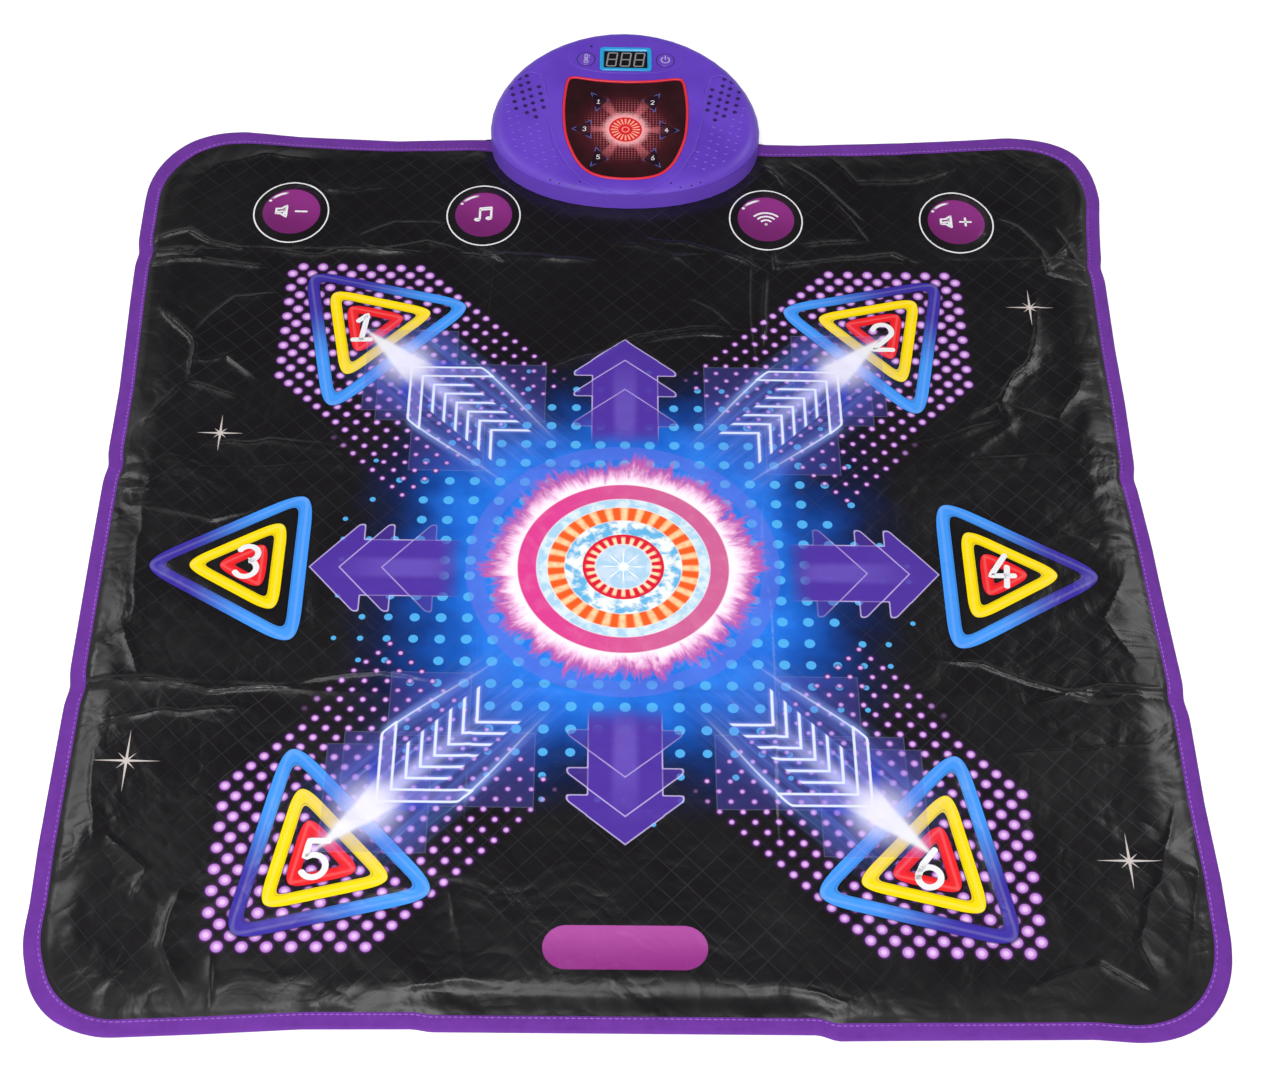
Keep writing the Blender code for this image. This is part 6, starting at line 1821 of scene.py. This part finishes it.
def buildDashes(find, look):
    edge = relief["bead"][:2:-1]
    edgeX, edgeV = [-p[0] for p in edge], [p[1] for p in edge]
    lowV, highV = relief["dashV"]
    dashes = []
    for sx in (-1, 1):
        for ox, ov, far in slantedGrid(range(-14, 4), range(-8, 9)):
            x, v = relief["grille"]["x"] - ox, relief["grille"]["v"] + ov
            deep = consoleDepth(np.array([x]), np.array([slope["y"] + v]))[0]
            onWing = deep >= relief["rim"] and x >= np.interp(v, edgeV, edgeX) + relief["beadGap"]
            if far <= 1.3 or not lowV <= v <= highV or not onWing:
                continue
            turn = math.radians(relief["turn"]) * sx
            dx, dv = (part * relief["dashLong"] / 2 for part in (math.cos(turn), math.sin(turn)))
            core = [find(sx * x + dx * k, v + dv * k) for k in (-1.0, -0.8, -0.3, 0.3, 0.8, 1.0)]
            if all(c[0] for c in core):
                dashes.append(core)
    ribs("wingDashes", dashes, look, relief["dashWide"], relief["dashHigh"])
    say("relief of %d dashes" % len(dashes))


def buildHoleShade(find, look):
    # small dark discs of painted shade where the small holes near the rim are
    points, faces = [], []
    for x, v in ((sx * x, v) for sx in (-1, 1) for x, v in relief["holes"]):
        place, normal = find(x, v)
        if place is None:
            continue
        across = normal.cross(Vector((0, 1, 0))).normalized()
        along = normal.cross(across)
        first = len(points)
        points.append(place + normal * 0.00002)
        for share, lift in ((0.6, 0.00004), (1.0, 0.00006)):
            reach = relief["hole"] * share
            points += [place + (across * math.cos(a) + along * math.sin(a)) * reach + normal * lift
                       for a in (math.pi * k / 6 for k in range(12))]
        for k in range(12):
            a, b = first + 1 + k, first + 1 + (k + 1) % 12
            faces += [(first, b, a), (a, b, b + 12, a + 12)]
    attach(newPiece("rimHoleShade", points, faces, look), bodyOf["top_shell"])


def buildShadeRings(find, look):
    # dark rings of painted shade round the buttons' openings, the sensor's hole and the speaker holes
    openings = [(sx * signPlan["x"], signPlan["v"], *signPlan["gap"]) for sx in (-1, 1)] + [relief["sensor"]]
    for ox, ov, far in slantedGrid(range(-6, 7), range(-6, 7)):
        if far < 1.0:
            x, v = relief["grille"]["x"] - ox, relief["grille"]["v"] + ov
            openings += [(sx * x, v, *relief["speakerHole"]) for sx in (-1, 1)]
    points, faces = [], []
    for x, v, inner, outer in openings:
        first, sides = len(points), 48 if outer > 0.005 else 18
        for k in range(sides):
            ux, uv = math.cos(math.tau * k / sides), math.sin(math.tau * k / sides)
            place, normal = find(x + ux * outer, v + uv * outer)
            inward = (onSlope(ux, uv) - onSlope(0, 0)) * (inner - outer)
            points += [place + normal * 0.00005 + inward, place + normal * 0.00005]
        for k in range(sides):
            a, b = first + 2 * k, first + 2 * ((k + 1) % sides)
            faces.append((a, a + 1, b + 1, b))
    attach(newPiece("openingShadeRings", points, faces, look), bodyOf["top_shell"])


# Node name beginnings and the slot of each; the first that fits counts.
slotOf = {
    "top_shell": "case_purple", "bottom_shell": "base_purple", "battery_door_screw": "steel",
    "battery_door": "base_purple", "power_button": "button_purple", "level_button": "button_purple",
    "display_bezel": "bezel_cyan", "display_module": "display_black", "window_trim": "trim_red",
    "panel_window": "window_dark_red", "main_board": "board_green", "power_switch": "switch_black",
    "level_switch": "switch_black", "speaker_cone": "speaker_paper", "speaker_frame": "speaker_steel",
    "board_screw": "steel", "front_screw": "steel", "rear_screw": "steel", "clamp_plate": "steel",
    "battery_contact": "steel", "battery_cell": "cell_wrap", "rubber_foot": "foot_rubber",
    "membrane_tail": "tail_film", "rear_upper_film": "clear_film", "front_upper_film": "clear_film",
    "rear_lower_film": "clear_film", "front_lower_film": "clear_film", "rear_spacer_foam": "grey_foam",
    "front_spacer_foam": "grey_foam",
}
# Colour, roughness and anything else of each slot's finish.
surface = {
    # base_purple is lighter than the top shell's purple: painted light for the base's walls, which face
    # partly downward and catch less of the lamps
    "base_purple": ((116, 76, 210), 0.42, {"scale": 1500.0, "tone": 0.92}),
    "button_purple": ((104, 66, 188), 0.36, {"scale": 1500.0, "tone": 0.94}),
    "bezel_cyan": ((38, 160, 218), 0.28, {"tone": 0.94}),
    "display_black": ((24, 24, 28), 0.16, {"bump": 0.03}),
    "trim_red": ((226, 38, 60), 0.34, {"tone": 0.94}),
    "board_green": ((20, 92, 48), 0.40, {"scale": 900.0, "tone": 0.8}),
    "switch_black": ((30, 30, 32), 0.42, {}),
    "speaker_paper": ((40, 40, 42), 0.75, {"scale": 1200.0, "bump": 0.3}),
    "speaker_steel": ((150, 150, 155), 0.38, {"metal": 0.9, "bump": 0.05}),
    "steel": ((176, 176, 180), 0.30, {"metal": 1.0, "bump": 0.05}),
    "cell_wrap": ((44, 118, 84), 0.34, {"bump": 0.04}),
    "foot_rubber": ((34, 34, 36), 0.70, {"scale": 900.0, "bump": 0.25}),
    "tail_film": ((198, 184, 140), 0.38, {"bump": 0.05}),
    "clear_film": ((214, 216, 212), 0.26, {"bump": 0.03}),
    "grey_foam": ((150, 150, 154), 0.85, {"scale": 700.0, "bump": 0.5}),
}


def dressRigid():
    made = {slot: plainMaterial(slot + "Finish", *basic, **more) for slot, (*basic, more) in surface.items()}
    made["case_purple"] = caseMaterial()
    made["window_dark_red"] = windowMaterial()
    for name in sorted(nodes):
        slot = next((s for start, s in slotOf.items() if name.startswith(start)), None)
        if slot is None:
            continue
        bevel = 0.0 if slot in ("clear_film", "grey_foam", "speaker_paper") else 0.0003
        angle = 24 if name in ("top_shell", "bottom_shell") else 32
        dressed(name, made[slot], bevel, angle)
    return made


groups = {}
build()

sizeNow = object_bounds()
pairs = zip([*cadBox[0], *cadBox[1]], [*sizeNow[0], *sizeNow[1]])
print("size grows by mm:", [round((b - a) * 1000, 2) for a, b in pairs])
